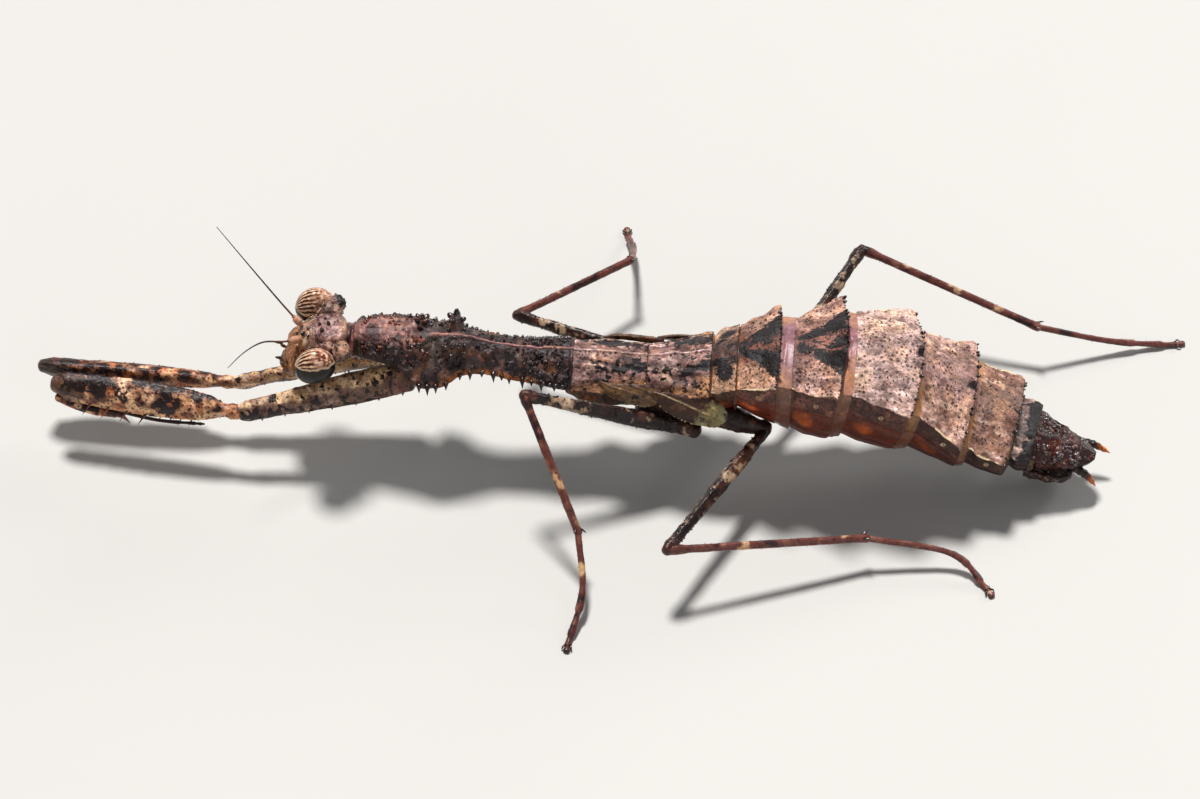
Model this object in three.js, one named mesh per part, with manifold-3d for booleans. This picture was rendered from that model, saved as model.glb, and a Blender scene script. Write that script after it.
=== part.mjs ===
// A praying mantis standing on its four walking legs, in millimetres, +Z up.
// The head is toward -X and the tail toward +X; the left side of the body is toward -Y.
// The floor is Z = 0 and the origin is under the middle of the whole outline.
import * as THREE from "three";
import { mergeVertices } from "three/addons/utils/BufferGeometryUtils.js";
import Module from "manifold-3d";

const wasm = await Module();
wasm.setup();

// ---------------------------------------------------------------- driving sizes
const clearance = 0.05; // space left between two pieces that meet
const bodyPlane = -0.5; // Y of the body's middle plane
const trunkSides = 16;
const limbSides = 8;
const roofCurve = 1.6; // 1 is a straight-sided roof, 2 a round one

const tailBendFrom = 20; // X where the tail starts to swing to the left
const tailBendOver = 3; // length over which the swing builds up
const tailSlope = -0.17; // sideways slope of the tail behind that

// Sections of the trunk. Each runs: x, height of the back's middle line, half width, drop
// from the middle line to the side edge, depth of the belly below that edge, and where the
// tail droops, the backward lean of the section in degrees.
const neckSections = [
  [-16.6, 8.95, 0.85, 0.5, 1.2],
  [-15.7, 9.2, 1.15, 0.6, 1.35],
];
const prothoraxSections = [
  [-15.65, 9.4, 1.4, 0.8, 1.2],
  [-14.2, 9.6, 1.7, 0.95, 1.35],
  [-12.8, 9.5, 2.05, 1.15, 1.4],
  [-11.4, 9.2, 2.75, 1.85, 0.9],
  [-10.3, 9.2, 2.6, 1.85, 0.8],
  [-9.0, 9.1, 1.85, 1.4, 0.7],
  [-7.4, 8.7, 1.6, 1.2, 0.7],
  [-5.3, 8.45, 1.7, 1.25, 0.8],
  [-2.55, 8.45, 2.05, 1.35, 1.2],
];
const mesothoraxSections = [
  [-2.5, 8.45, 2.0, 1.4, 1.3],
  [-0.9, 8.45, 2.0, 1.45, 2.0],
  [2.0, 8.3, 2.15, 1.5, 2.3],
];
const metathoraxSections = [
  [2.05, 8.3, 2.15, 1.5, 2.3],
  [4.0, 8.6, 2.35, 1.4, 2.6],
  [5.9, 8.95, 2.55, 1.2, 3.0],
];
const abdomenSections = [
  [
    [5.95, 8.98, 2.55, 1.1, 3.0, 0],
    [7.4, 9.5, 2.85, 0.9, 3.6, 0],
  ],
  [
    [7.45, 9.5, 2.7, 0.8, 3.8, 0],
    [8.6, 9.85, 2.9, 0.8, 4.6, 0],
    [9.85, 10.2, 3.15, 0.8, 5.6, 0],
  ],
  [
    [9.9, 10.15, 2.95, 0.85, 5.6, 0],
    [10.9, 10.25, 3.1, 0.9, 6.2, 1],
    [12.3, 10.45, 3.45, 1.0, 6.6, 3],
    [13.65, 10.65, 3.75, 1.0, 6.8, 5],
  ],
  [
    [13.7, 10.5, 3.45, 1.0, 6.6, 5],
    [14.6, 10.6, 3.55, 1.05, 6.6, 7],
    [16.3, 10.3, 3.8, 1.15, 6.5, 10],
    [18.1, 9.7, 3.95, 1.2, 6.2, 12],
  ],
  [
    [18.15, 9.45, 3.55, 1.1, 5.9, 12],
    [18.9, 9.05, 3.65, 1.1, 5.6, 11],
    [20.2, 8.0, 3.85, 1.15, 4.8, 9],
    [21.55, 7.0, 3.95, 1.15, 4.1, 8],
  ],
  [
    [21.6, 6.85, 3.5, 1.1, 3.95, 8],
    [22.2, 6.55, 3.55, 1.1, 3.7, 7],
    [23.3, 5.95, 3.55, 1.15, 3.2, 5],
    [24.35, 5.4, 3.4, 1.15, 2.75, 4],
  ],
  [
    [24.4, 5.15, 2.6, 0.95, 2.5, 4],
    [25.0, 4.85, 2.5, 0.9, 2.4, 4],
    [25.7, 4.6, 2.4, 0.85, 2.3, 4],
  ],
];
const tailPlateSections = [
  [25.75, 4.55, 2.05, 0.75, 0.9, 4],
  [26.8, 4.0, 1.8, 0.7, 0.75, 4],
  [28.0, 3.45, 1.35, 0.55, 0.6, 4],
  [29.0, 3.1, 0.75, 0.35, 0.45, 4],
  [29.4, 2.95, 0.3, 0.15, 0.25, 4],
];
const genitalPlateSections = [
  [25.8, 2.75, 2.0, 0.15, 1.65, 4],
  [26.8, 2.35, 1.8, 0.15, 1.55, 4],
  [27.7, 2.05, 1.5, 0.15, 1.4, 4],
  [28.2, 1.9, 0.95, 0.15, 1.05, 4],
];

// Walking legs, from the hip to the point of the claws.
const walkingLegs = [
  {
    name: "mid_left",
    coxa: [1.9, -1.7, 4.7],
    hip: [5.1, -2.7, 4.1],
    knee: [-5.15, -4.6, 8.8],
    ankle: [-1.48, -10.4, 3.3],
    instep: [-1.0, -13.4, 1.45],
    foot: [-1.6, -16.2, 0.15],
    claws: [-1.7, -16.95, 0.12],
  },
  {
    name: "mid_right",
    coxa: [1.9, 0.7, 4.7],
    hip: [5.1, 1.7, 4.1],
    knee: [-6.4, 5.0, 5.0],
    ankle: [0.25, 10.98, 3.9],
    instep: [0.2, 14.0, 1.6],
    foot: [-0.25, 16.2, 0.15],
    claws: [-0.4, 16.95, 0.12],
  },
  {
    name: "hind_left",
    coxa: [5.5, -1.7, 5.0],
    hip: [9.35, -2.15, 3.9],
    knee: [3.95, -12.2, 4.3],
    ankle: [15.73, -8.77, 2.2],
    instep: [20.9, -8.75, 1.15],
    foot: [22.95, -10.3, 0.15],
    claws: [23.45, -11.0, 0.12],
  },
  {
    name: "hind_right",
    coxa: [5.5, 0.7, 5.0],
    hip: [9.35, 1.15, 3.9],
    knee: [14.57, 11.05, 6.0],
    ankle: [25.75, 8.2, 2.8],
    instep: [30.3, 8.95, 1.0],
    foot: [34.1, 9.65, 0.15],
    claws: [34.98, 9.82, 0.12],
  },
];

// Grasping legs, held forward with the shin folded under the thigh. lean is the way that
// the deep blade of the thigh points, from its upper edge to its lower one.
const graspingLegs = [
  {
    name: "fore_left",
    side: -1,
    shoulder: [-12.5, -1.75, 6.55],
    elbow: [-22.5, -3.35, 4.2],
    knee: [-34.0, -2.2, 4.5],
  },
  {
    name: "fore_right",
    side: 1,
    shoulder: [-12.7, 0.7, 6.3],
    elbow: [-23.1, -0.75, 3.9],
    knee: [-35.0, -0.6, 4.35],
  },
];

// Head. Its long axis runs from the crown to the mouth, forward and down.
const crown = [-16.95, -0.5, 9.45];
const mouthTip = [-20.0, -1.15, 6.35];
const leftEye = [-17.8, -3.0, 8.6];
const rightEye = [-18.45, 1.7, 8.6];
const eyeRadii = [1.3, 0.98, 1.3];
const feelerThickness = 0.25;

// ---------------------------------------------------------------- finishes
const finishes = {
  bark: { color: 0x6e5247, roughness: 0.75 },
  soot: { color: 0x2e2422, roughness: 0.6 },
  peach: { color: 0xb07a58, roughness: 0.65 },
  eye: { color: 0x9a5f45, roughness: 0.2 },
  lacquer: { color: 0x2c1410, roughness: 0.15 },
};

// ---------------------------------------------------------------- shape helpers
const vec = ([x, y, z]) => new THREE.Vector3(x, y, z);
const curveThrough = (points) => new THREE.CatmullRomCurve3(points, false, "catmullrom", 0.5);

/** Turn a closed three.js geometry into a solid that can be joined and cut. */
function solidOf(geometry) {
  const bare = geometry.clone();
  bare.deleteAttribute("normal");
  bare.deleteAttribute("uv");
  const merged = mergeVertices(bare, 1e-4);
  return new wasm.Manifold(
    new wasm.Mesh({
      numProp: 3,
      vertProperties: new Float32Array(merged.attributes.position.array),
      triVerts: new Uint32Array(merged.index.array),
    }),
  );
}

/** Turn a solid back into a three.js geometry. */
function geometryOf(solid) {
  const mesh = solid.getMesh();
  const geometry = new THREE.BufferGeometry();
  geometry.setAttribute("position", new THREE.BufferAttribute(mesh.vertProperties, 3));
  geometry.setIndex(new THREE.BufferAttribute(mesh.triVerts, 1));
  geometry.computeVertexNormals();
  return geometry;
}

/** Bend a closed cylinder so that place(t, across, up) gives each point of its skin. */
function bentCylinder(sides, steps, place) {
  const geometry = new THREE.CylinderGeometry(1, 1, 1, sides, steps);
  const position = geometry.attributes.position;
  for (let i = 0; i < position.count; i += 1) {
    const point = place(0.5 - position.getY(i), position.getX(i), position.getZ(i));
    position.setXYZ(i, point.x, point.y, point.z);
  }
  return solidOf(geometry);
}

/** How far the body's middle line is swung sideways at x, and its slope there. */
function swing(x) {
  const past = x - tailBendFrom;
  if (past <= 0) {
    return { shift: 0, slope: 0 };
  }
  const share = Math.min(1, past / tailBendOver);
  const straight = Math.max(0, past - tailBendOver);
  const shift = tailSlope * (0.5 * share * share * tailBendOver + straight);
  return { shift, slope: tailSlope * share };
}

/** A length of trunk: a roofed back above the side edges and a rounded belly below them. */
function trunk(sections, stepsPerSpan, grow = 0) {
  const line = curveThrough(sections.map(([x, top]) => new THREE.Vector3(x, 0, top)));
  const sizes = curveThrough(sections.map((s) => new THREE.Vector3(s[2], s[3], s[4])));
  const leans = curveThrough(sections.map((s) => new THREE.Vector3(s[5] ?? 0, 0, 0)));
  return bentCylinder(trunkSides, stepsPerSpan * (sections.length - 1), (t, across, up) => {
    const at = line.getPoint(t);
    const size = sizes.getPoint(t);
    const lean = THREE.MathUtils.degToRad(leans.getPoint(t).x);
    const { shift, slope } = swing(at.x);
    const rise = up >= 0 ? size.y * (1 - Math.abs(across) ** roofCurve) : size.z * up;
    const lift = (Math.hypot(across, up) > 0.01 ? rise : 0) - size.y + grow * up;
    const out = (across * (size.x + grow)) / Math.hypot(1, slope);
    const end = t < 0.001 ? -grow : t > 0.999 ? grow : 0;
    return new THREE.Vector3(
      at.x + end - slope * out + Math.sin(lean) * lift,
      bodyPlane + shift + out,
      at.z + Math.cos(lean) * lift,
    );
  });
}

/** A limb along points. radii holds the half thickness across and along lean at each. */
function limb(points, radii, lean, steps, grow = 0, { floor = -Infinity, sides = limbSides } = {}) {
  const line = curveThrough(points.map(vec));
  const sizes = curveThrough(radii.map(([across, deep]) => new THREE.Vector3(across, deep, 0)));
  return bentCylinder(sides, steps, (t, across, up) => {
    const at = line.getPoint(t);
    const size = sizes.getPoint(t);
    const forward = line.getTangent(t);
    const side = new THREE.Vector3().crossVectors(vec(lean), forward).normalize();
    const over = new THREE.Vector3().crossVectors(forward, side);
    const end = t < 0.001 ? -grow : t > 0.999 ? grow : 0;
    at.addScaledVector(forward, end);
    at.addScaledVector(side, across * (size.x + grow));
    at.addScaledVector(over, up * (size.y + grow));
    at.z = Math.max(at.z, floor);
    return at;
  });
}

/** A spine: a slim cone from its root along its direction. */
function spine(root, direction, length, width) {
  const cone = new THREE.ConeGeometry(width / 2, length, 5, 1);
  cone.translate(0, length / 2, 0);
  const turn = new THREE.Quaternion().setFromUnitVectors(
    new THREE.Vector3(0, 1, 0),
    vec(direction).normalize(),
  );
  cone.applyQuaternion(turn);
  cone.translate(...root);
  return solidOf(cone);
}

/** A rounded lump with the given half sizes. */
function lump(centre, radii, around = 12, down = 8) {
  const ball = new THREE.SphereGeometry(1, around, down);
  ball.scale(...radii);
  ball.translate(...centre);
  return solidOf(ball);
}

/** Point part of the way from one place to another. */
function between(from, to, share) {
  return vec(from).lerp(vec(to), share).toArray();
}

/** Place moved by a distance along a direction. */
function moved(from, direction, distance) {
  return vec(from).addScaledVector(vec(direction).normalize(), distance).toArray();
}

// ---------------------------------------------------------------- the list of pieces
const pieces = new Map();

/** Enter a piece. shape(grow) makes its solid; it gives way to the pieces in yieldsTo. */
function piece(name, finish, shape, yieldsTo = []) {
  pieces.set(name, { finish, shape, yieldsTo });
}

/** Cut a piece back from its neighbours and keep its one main body. */
function trimmed({ shape, yieldsTo }) {
  let solid = shape(0);
  for (const neighbour of yieldsTo) {
    solid = solid.subtract(pieces.get(neighbour).shape(clearance));
  }
  const bodies = solid.decompose();
  return bodies.reduce((best, body) => (body.volume() > best.volume() ? body : best));
}

// ---------------------------------------------------------------- trunk
/** Knobs in pairs on the shield behind the head, and the spines along its side edges. */
function shieldOrnaments() {
  const knobs = [
    [-12.0, 0.75, 9.55, 0.36],
    [-9.65, 0.8, 9.25, 0.5],
  ];
  const solids = [];
  for (const [x, out, z, radius] of knobs) {
    for (const side of [-1, 1]) {
      solids.push(lump([x, bodyPlane + side * out, z], [radius, radius, radius * 1.5], 8, 5));
    }
  }
  const edgeSpines = [
    [-11.2, 2.45, 7.55],
    [-10.3, 2.4, 7.55],
    [-9.4, 1.95, 7.7],
    [-8.5, 1.7, 7.65],
    [-7.5, 1.55, 7.5],
    [-6.4, 1.58, 7.3],
    [-5.3, 1.62, 7.2],
    [-4.2, 1.75, 7.15],
  ];
  for (const [x, out, z] of edgeSpines) {
    for (const side of [-1, 1]) {
      const root = [x, bodyPlane + side * (out - 0.15), z];
      solids.push(spine(root, [0.15, side, -0.45], 0.55, 0.42));
    }
  }
  return solids;
}

piece("neck", "bark", (grow) => trunk(neckSections, 1, grow));
piece("prothorax", "soot", (grow) => {
  const shield = trunk(prothoraxSections, 2, grow);
  return grow > 0 ? shield : shieldOrnaments().reduce((all, one) => all.add(one), shield);
});
piece("mesothorax", "soot", (grow) => trunk(mesothoraxSections, 2, grow));
piece("metathorax", "soot", (grow) => trunk(metathoraxSections, 2, grow));
abdomenSections.forEach((sections, index) => {
  const finish = index < 1 ? "soot" : "bark";
  piece(`abdomen_${index + 1}`, finish, (grow) => trunk(sections, 2, grow));
});
piece("tail_plate", "lacquer", (grow) => trunk(tailPlateSections, 1, grow));
piece(
  "genital_plate",
  "lacquer",
  (grow) => trunk(genitalPlateSections, 1, grow),
  ["tail_plate"],
);

const cerci = [
  ["left", [[28.0, -2.5, 2.45], [28.95, -2.7, 1.9], [29.5, -2.8, 1.0]]],
  ["right", [[28.6, -0.45, 2.3], [29.5, -0.55, 2.1], [30.3, -0.7, 1.75]]],
];
for (const [label, points] of cerci) {
  const radii = [[0.28, 0.28], [0.26, 0.26], [0.14, 0.14]];
  piece(
    `cercus_${label}`,
    "soot",
    (grow) => limb(points, radii, [0, 0, 1], 4, grow),
    ["tail_plate", "genital_plate"],
  );
}

// Wing pads: small scales lying along the sides of the middle and hind thorax.
const wingPads = [
  {
    kind: "fore_wing_pad",
    points: [[-0.6, 1.95, 7.45], [1.0, 2.15, 7.2], [2.7, 2.2, 7.05]],
    halfDepths: [0.4, 0.72, 0.45],
    under: ["mesothorax", "metathorax"],
  },
  {
    kind: "hind_wing_pad",
    points: [[2.6, 2.3, 7.2], [4.7, 2.75, 6.75], [6.8, 3.0, 6.5]],
    halfDepths: [0.4, 0.95, 0.8],
    under: ["mesothorax", "metathorax", "abdomen_1"],
  },
];
for (const [label, side] of [["left", -1], ["right", 1]]) {
  for (const { kind, points, halfDepths, under } of wingPads) {
    const line = points.map(([x, out, z]) => [x, bodyPlane + side * out, z]);
    const radii = halfDepths.map((deep) => [0.27, deep]);
    const neighbours = kind === "hind_wing_pad" ? [...under, `fore_wing_pad_${label}`] : under;
    piece(
      `${kind}_${label}`,
      "bark",
      (grow) => limb(line, radii, [0, side * -0.53, 0.85], 5, grow),
      neighbours,
    );
  }
}

// ---------------------------------------------------------------- head
const faceAxis = vec(mouthTip).sub(vec(crown)).normalize().toArray();
const faceNormal = [-0.74, -0.1, 0.67];
const alongFace = (share, inward = 0.55) =>
  moved(between(crown, mouthTip, share), faceNormal, -inward);

piece("eye_left", "eye", (grow) => lump(leftEye, eyeRadii.map((r) => r + grow), 14, 10));
piece("eye_right", "eye", (grow) => lump(rightEye, eyeRadii.map((r) => r + grow), 14, 10));
piece(
  "head",
  "bark",
  (grow) => {
    const points = [-0.07, 0.05, 0.3, 0.55, 0.75].map((share) => alongFace(share));
    const radii = [[1.1, 0.45], [1.95, 0.95], [2.2, 1.15], [1.7, 1.1], [1.15, 0.95]];
    let skull = limb(points, radii, faceNormal, 8, grow, { sides: 14 });
    for (const side of [-1, 1]) {
      const bump = [-16.45 - 0.2 * side, bodyPlane + side * 1.95, 9.45];
      skull = skull.add(lump(bump, [0.5 + grow, 0.5 + grow, 0.5 + grow], 8, 6));
    }
    return skull;
  },
  ["neck", "eye_left", "eye_right"],
);
piece(
  "mouthparts",
  "peach",
  (grow) =>
    limb(
      [0.765, 0.9, 1.03].map((share) => alongFace(share, 0.55)),
      [[1.05, 0.9], [0.8, 0.75], [0.45, 0.45]],
      faceNormal,
      4,
      grow,
    ),
  ["head", "eye_left", "eye_right"],
);
for (const [label, points] of [
  ["left", [[-18.95, -1.3, 8.9], [-19.9, -1.9, 9.35], [-21.0, -2.5, 9.9], [-22.9, -4.4, 9.6]]],
  ["right", [[-19.05, -0.15, 9.05], [-20.0, 0.35, 9.9], [-21.9, 1.4, 11.9], [-24.2, 2.9, 14.0]]],
]) {
  const thickness = [0.32, feelerThickness, feelerThickness, feelerThickness];
  piece(
    `antenna_${label}`,
    "peach",
    (grow) => limb(points, thickness.map((r) => [r, r]), [0, 0, 1], 8, grow),
    ["head", "eye_left", "eye_right"],
  );
}

// ---------------------------------------------------------------- grasping legs
for (const { name, side, shoulder, elbow, knee } of graspingLegs) {
  const lean = [0, side * -0.5, 0.87];
  const under = [0, side * 0.5, -0.87];
  const reach = (share, drop) => moved(between(elbow, knee, share), under, drop);
  const coxaPoints = [0, 0.35, 0.75, 0.96].map((share) => between(shoulder, elbow, share));
  piece(
    `coxa_${name}`,
    "peach",
    (grow) => {
      const radii = [[0.8, 0.95], [0.72, 0.9], [0.52, 0.66], [0.45, 0.52]];
      let solid = limb(coxaPoints, radii, lean, 6, grow);
      for (let i = 0; i < 5 && grow === 0; i += 1) {
        const root = moved(between(shoulder, elbow, 0.2 + 0.13 * i), under, 0.7 - 0.06 * i);
        solid = solid.add(spine(root, [-0.3, side * 0.5, -0.87], 0.45, 0.3));
      }
      return solid;
    },
    ["prothorax"],
  );
  piece(
    `femur_${name}`,
    "peach",
    (grow) => {
      const points = [0.02, 0.13, 0.3, 0.55, 0.78, 0.93, 1].map((share) => reach(share, 0));
      const radii = [
        [0.35, 0.42],
        [0.45, 0.62],
        [0.62, 0.92],
        [0.68, 1.05],
        [0.64, 0.98],
        [0.55, 0.8],
        [0.42, 0.5],
      ];
      let solid = limb(points, radii, lean, 9, grow);
      for (let i = 0; i < 4 && grow === 0; i += 1) {
        const root = moved(reach(0.5 + 0.1 * i, 0.85), [0, side, 0], 0.35);
        solid = solid.add(spine(root, [-0.55, side * 0.5, -0.75], 0.95, 0.36));
      }
      return solid;
    },
    [`coxa_${name}`],
  );
  piece(
    `tibia_${name}`,
    "peach",
    (grow) =>
      limb(
        [reach(0.985, 0.75), reach(0.84, 1.2), reach(0.68, 1.33), reach(0.6, 1.6)],
        [[0.34, 0.34], [0.36, 0.4], [0.3, 0.34], [0.14, 0.14]],
        lean,
        6,
        grow,
      ),
    [`femur_${name}`],
  );
  piece(
    `tarsus_${name}`,
    "soot",
    (grow) =>
      limb(
        [reach(0.63, 1.2), reach(0.45, 1.38), reach(0.25, 1.2)],
        [[0.25, 0.25], [0.25, 0.25], [0.22, 0.22]],
        lean,
        5,
        grow,
      ),
    [`femur_${name}`, `tibia_${name}`],
  );
}

// ---------------------------------------------------------------- walking legs
for (const { name, coxa, hip, knee, ankle, instep, foot, claws } of walkingLegs) {
  const hindmost = name.startsWith("hind");
  const sternum = hindmost
    ? ["metathorax", "abdomen_1", "abdomen_2", "abdomen_3"]
    : ["mesothorax", "metathorax"];
  const coxaRadii = [[0.8, 0.8], [0.72, 0.72], [0.48, 0.48]];
  piece(
    `coxa_${name}`,
    "soot",
    (grow) => limb([coxa, between(coxa, hip, 0.55), hip], coxaRadii, [0, 0, 1], 4, grow),
    sternum,
  );
  piece(
    `femur_${name}`,
    "soot",
    (grow) => {
      const points = [0.0, 0.15, 0.5, 0.9, 1].map((share) => between(hip, knee, share));
      const radii = hindmost
        ? [[0.36, 0.36], [0.44, 0.5], [0.38, 0.42], [0.33, 0.36], [0.3, 0.32]]
        : [[0.38, 0.38], [0.5, 0.6], [0.42, 0.48], [0.33, 0.36], [0.3, 0.32]];
      return limb(points, radii, [0, 0, 1], 6, grow);
    },
    [`coxa_${name}`, ...sternum],
  );
  piece(
    `tibia_${name}`,
    "bark",
    (grow) => {
      const points = [0.0, 0.3, 0.7, 1].map((share) => between(knee, ankle, share));
      const radii = [0.29, 0.26, 0.25, 0.27].map((radius) => [radius, radius]);
      return limb(points, radii, [0, 0, 1], 4, grow);
    },
    [`femur_${name}`],
  );
  piece(
    `tarsus_${name}`,
    "soot",
    (grow) => {
      const start = between(ankle, instep, 0.04);
      const points = [start, instep, foot, claws];
      const radii = [0.25, 0.25, 0.27, 0.22].map((radius) => [radius, radius]);
      return limb(points, radii, [0, 0, 1], 6, grow, { floor: 0 });
    },
    [`tibia_${name}`],
  );
}

// ---------------------------------------------------------------- assembly
const mantis = new THREE.Group();
for (const [name, entry] of pieces) {
  const finish = finishes[entry.finish];
  const material = new THREE.MeshStandardMaterial({ ...finish, metalness: 0 });
  const mesh = new THREE.Mesh(geometryOf(trimmed(entry)), material);
  mesh.name = name;
  mantis.add(mesh);
}

export default mantis;
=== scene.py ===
"""A still, life-size praying mantis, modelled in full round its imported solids.

Sizes in the tables are millimetres in the solids' own frame: the head points to -X, the
tail to +X, the left side of the body is toward -Y and the floor is Z = 0.
"""

import logging
import math
from collections.abc import Callable, Mapping, Sequence
from dataclasses import dataclass, field
from enum import Enum
from itertools import product

import bpy
import numpy as np
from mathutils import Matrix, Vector


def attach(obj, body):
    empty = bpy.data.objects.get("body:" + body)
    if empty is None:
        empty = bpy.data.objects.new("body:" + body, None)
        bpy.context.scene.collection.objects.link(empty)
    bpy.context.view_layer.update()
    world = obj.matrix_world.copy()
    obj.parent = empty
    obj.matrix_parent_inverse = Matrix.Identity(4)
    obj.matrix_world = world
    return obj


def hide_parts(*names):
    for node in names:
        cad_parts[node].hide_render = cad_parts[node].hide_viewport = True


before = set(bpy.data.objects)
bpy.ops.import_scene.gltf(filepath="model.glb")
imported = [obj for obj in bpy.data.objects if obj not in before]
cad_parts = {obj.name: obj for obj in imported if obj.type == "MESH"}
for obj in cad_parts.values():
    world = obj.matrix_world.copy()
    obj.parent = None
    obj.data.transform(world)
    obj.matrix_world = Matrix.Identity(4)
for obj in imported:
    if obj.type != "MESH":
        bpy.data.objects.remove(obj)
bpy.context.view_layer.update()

log = logging.getLogger("mantis")
MM = 0.001  # metres in a millimetre
BODY_PLANE = -0.5  # y of the body's middle plane
SIDES = (-1, 1)
SIDE_NAME = {-1: "left", 1: "right"}

# whole numbers that scramble the steps of the noise lattice
HASH_STEPS = np.array([374761393, 668265263, 2147483647])
HASH_SEED, HASH_MIX, WORD = 1013904223, 1274126177, 0xFFFFFFFF

Array = np.ndarray
Masks = dict[str, Array]
Piece = bpy.types.Object
Material = bpy.types.Material
Socket = bpy.types.NodeSocket
Tree = bpy.types.NodeTree
Point = Sequence[float]
Table = Sequence[Sequence[float]]
Relief = Callable[[Array, Array, Array], Array]


# ------------------------------------------------------------------ numbers and noise
def colour(code: str) -> tuple[float, float, float, float]:
    """Turn a six-digit screen colour into the linear colour that shaders take.

    Args:
        code: Six hexadecimal digits.

    Returns:
        Red, green, blue and an opacity of 1.
    """
    parts = [int(code[i : i + 2], 16) / 255 for i in (0, 2, 4)]
    linear = [c / 12.92 if c <= 0.04045 else ((c + 0.055) / 1.055) ** 2.4 for c in parts]
    return (*linear, 1.0)


def ease(value: Array, low: float, high: float) -> Array:
    """Rise smoothly from 0 at low to 1 at high."""
    share = np.clip((np.asarray(value, float) - low) / (high - low), 0.0, 1.0)
    return share * share * (3 - 2 * share)


def bump(value: Array, centre: float, width: float) -> Array:
    """A smooth hill of height 1 at centre that fades over width."""
    return np.exp(-(((np.asarray(value, float) - centre) / width) ** 2))


def lattice(points: Array, seed: int) -> Array:
    """One octave of smooth noise, from -1 to 1, at points of shape (..., 3).

    Args:
        points: Places, in lattice steps.
        seed: Picks the pattern.

    Returns:
        One value for each point.
    """
    base = np.floor(points).astype(np.int64)
    part = points - base
    part = part * part * (3 - 2 * part)
    total = np.zeros(points.shape[:-1])
    for corner in product((0, 1), repeat=3):
        key = ((base + np.array(corner)) @ HASH_STEPS + seed * HASH_SEED) & WORD
        key = ((key ^ (key >> 13)) * HASH_MIX) & WORD
        value = ((key ^ (key >> 16)) & 0xFFFF) / 32767.5 - 1
        total += value * np.prod(np.where(np.array(corner) == 1, part, 1 - part), axis=-1)
    return total


def rough(points: Array, size: float, seed: int = 0, octaves: int = 3) -> Array:
    """Fractal noise, about -1 to 1, whose largest lumps measure size.

    Args:
        points: Places, in mm.
        size: Size of the largest lumps, in mm.
        seed: Picks the pattern.
        octaves: How many sizes of lumps, each half the one before.

    Returns:
        One value for each point.
    """
    total = np.zeros(points.shape[:-1])
    weight = 1.0
    for octave in range(octaves):
        total += weight * lattice(points / size * 2**octave + 17.3 * octave, seed + octave)
        weight *= 0.5
    return total / 1.75


def through(keys: Point, values: Array, at: Array) -> Array:
    """Interpolate table values smoothly, with no overshoot between keys.

    Args:
        keys: Rising positions of the table's rows.
        values: One row of numbers for each key.
        at: Positions to read at, held to the table's range.

    Returns:
        One row of numbers for each position.
    """
    x, y = np.asarray(keys, float), np.asarray(values, float)
    step = np.diff(x)[:, None]
    rise = np.diff(y, axis=0) / step
    slope = np.zeros_like(y)
    flat = rise[:-1] * rise[1:] <= 0
    mean = 2 * rise[:-1] * rise[1:] / np.where(flat, 1.0, rise[:-1] + rise[1:])
    slope[1:-1] = np.where(flat, 0.0, mean)
    slope[0], slope[-1] = rise[0], rise[-1]
    at = np.clip(np.asarray(at, float), x[0], x[-1])
    i = np.clip(np.searchsorted(x, at, side="right") - 1, 0, len(x) - 2)
    t = ((at - x[i]) / step[i, 0])[:, None]
    h = step[i]
    return (
        y[i] * (1 + 2 * t) * (1 - t) ** 2
        + slope[i] * h * t * (1 - t) ** 2
        + y[i + 1] * t * t * (3 - 2 * t)
        + slope[i + 1] * h * t * t * (t - 1)
    )


def along_line(points: Table, count: int) -> Array:
    """Evenly numbered places on a smooth curve through points.

    Args:
        points: Places that the curve runs through.
        count: How many places to give.

    Returns:
        The places, one a row.
    """
    rows = np.asarray(points, float)
    ahead, behind = 2 * rows[-1] - rows[-2], 2 * rows[0] - rows[1]
    padded = np.vstack([behind, rows, ahead])
    at = np.linspace(0, len(rows) - 1, count)
    i = np.minimum(at.astype(int), len(rows) - 2)
    t = (at - i)[:, None]
    a, b, c, d = padded[i], padded[i + 1], padded[i + 2], padded[i + 3]
    return 0.5 * (
        2 * b + (c - a) * t + (2 * a - 5 * b + 4 * c - d) * t**2 + (3 * b - a - 3 * c + d) * t**3
    )


def unit(vectors: Array) -> Array:
    """Vectors of length 1."""
    return vectors / np.maximum(np.linalg.norm(vectors, axis=-1, keepdims=True), 1e-12)


# ------------------------------------------------------------------ meshes
def clear_selection() -> None:
    """Leave object mode with nothing selected."""
    if bpy.context.mode != "OBJECT":
        bpy.ops.object.mode_set(mode="OBJECT")
    bpy.ops.object.select_all(action="DESELECT")


def close_skin(piece: Piece) -> None:
    """Merge seams and poles of a piece, and turn its faces outwards.

    Args:
        piece: The piece.
    """
    clear_selection()
    piece.select_set(True)
    bpy.context.view_layer.objects.active = piece
    bpy.ops.object.mode_set(mode="EDIT")
    bpy.ops.mesh.select_all(action="SELECT")
    bpy.ops.mesh.remove_doubles(threshold=1e-7)
    bpy.ops.mesh.normals_make_consistent(inside=False)
    bpy.ops.object.mode_set(mode="OBJECT")
    bpy.ops.object.shade_smooth()


def read_points(piece: Piece, field_name: str = "co") -> Array:
    """Read the places, or the normals, of a piece's vertices as rows of three.

    Args:
        piece: The piece.
        field_name: What to read, a vector of each vertex.

    Returns:
        One row for each vertex.
    """
    flat = np.empty(len(piece.data.vertices) * 3, np.float32)
    piece.data.vertices.foreach_get(field_name, flat)
    return flat.reshape(-1, 3).astype(float)


def write_points(piece: Piece, places: Array) -> None:
    """Move a piece's vertices to places in millimetres."""
    piece.data.vertices.foreach_set("co", (places * MM).astype(np.float32).ravel())


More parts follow.
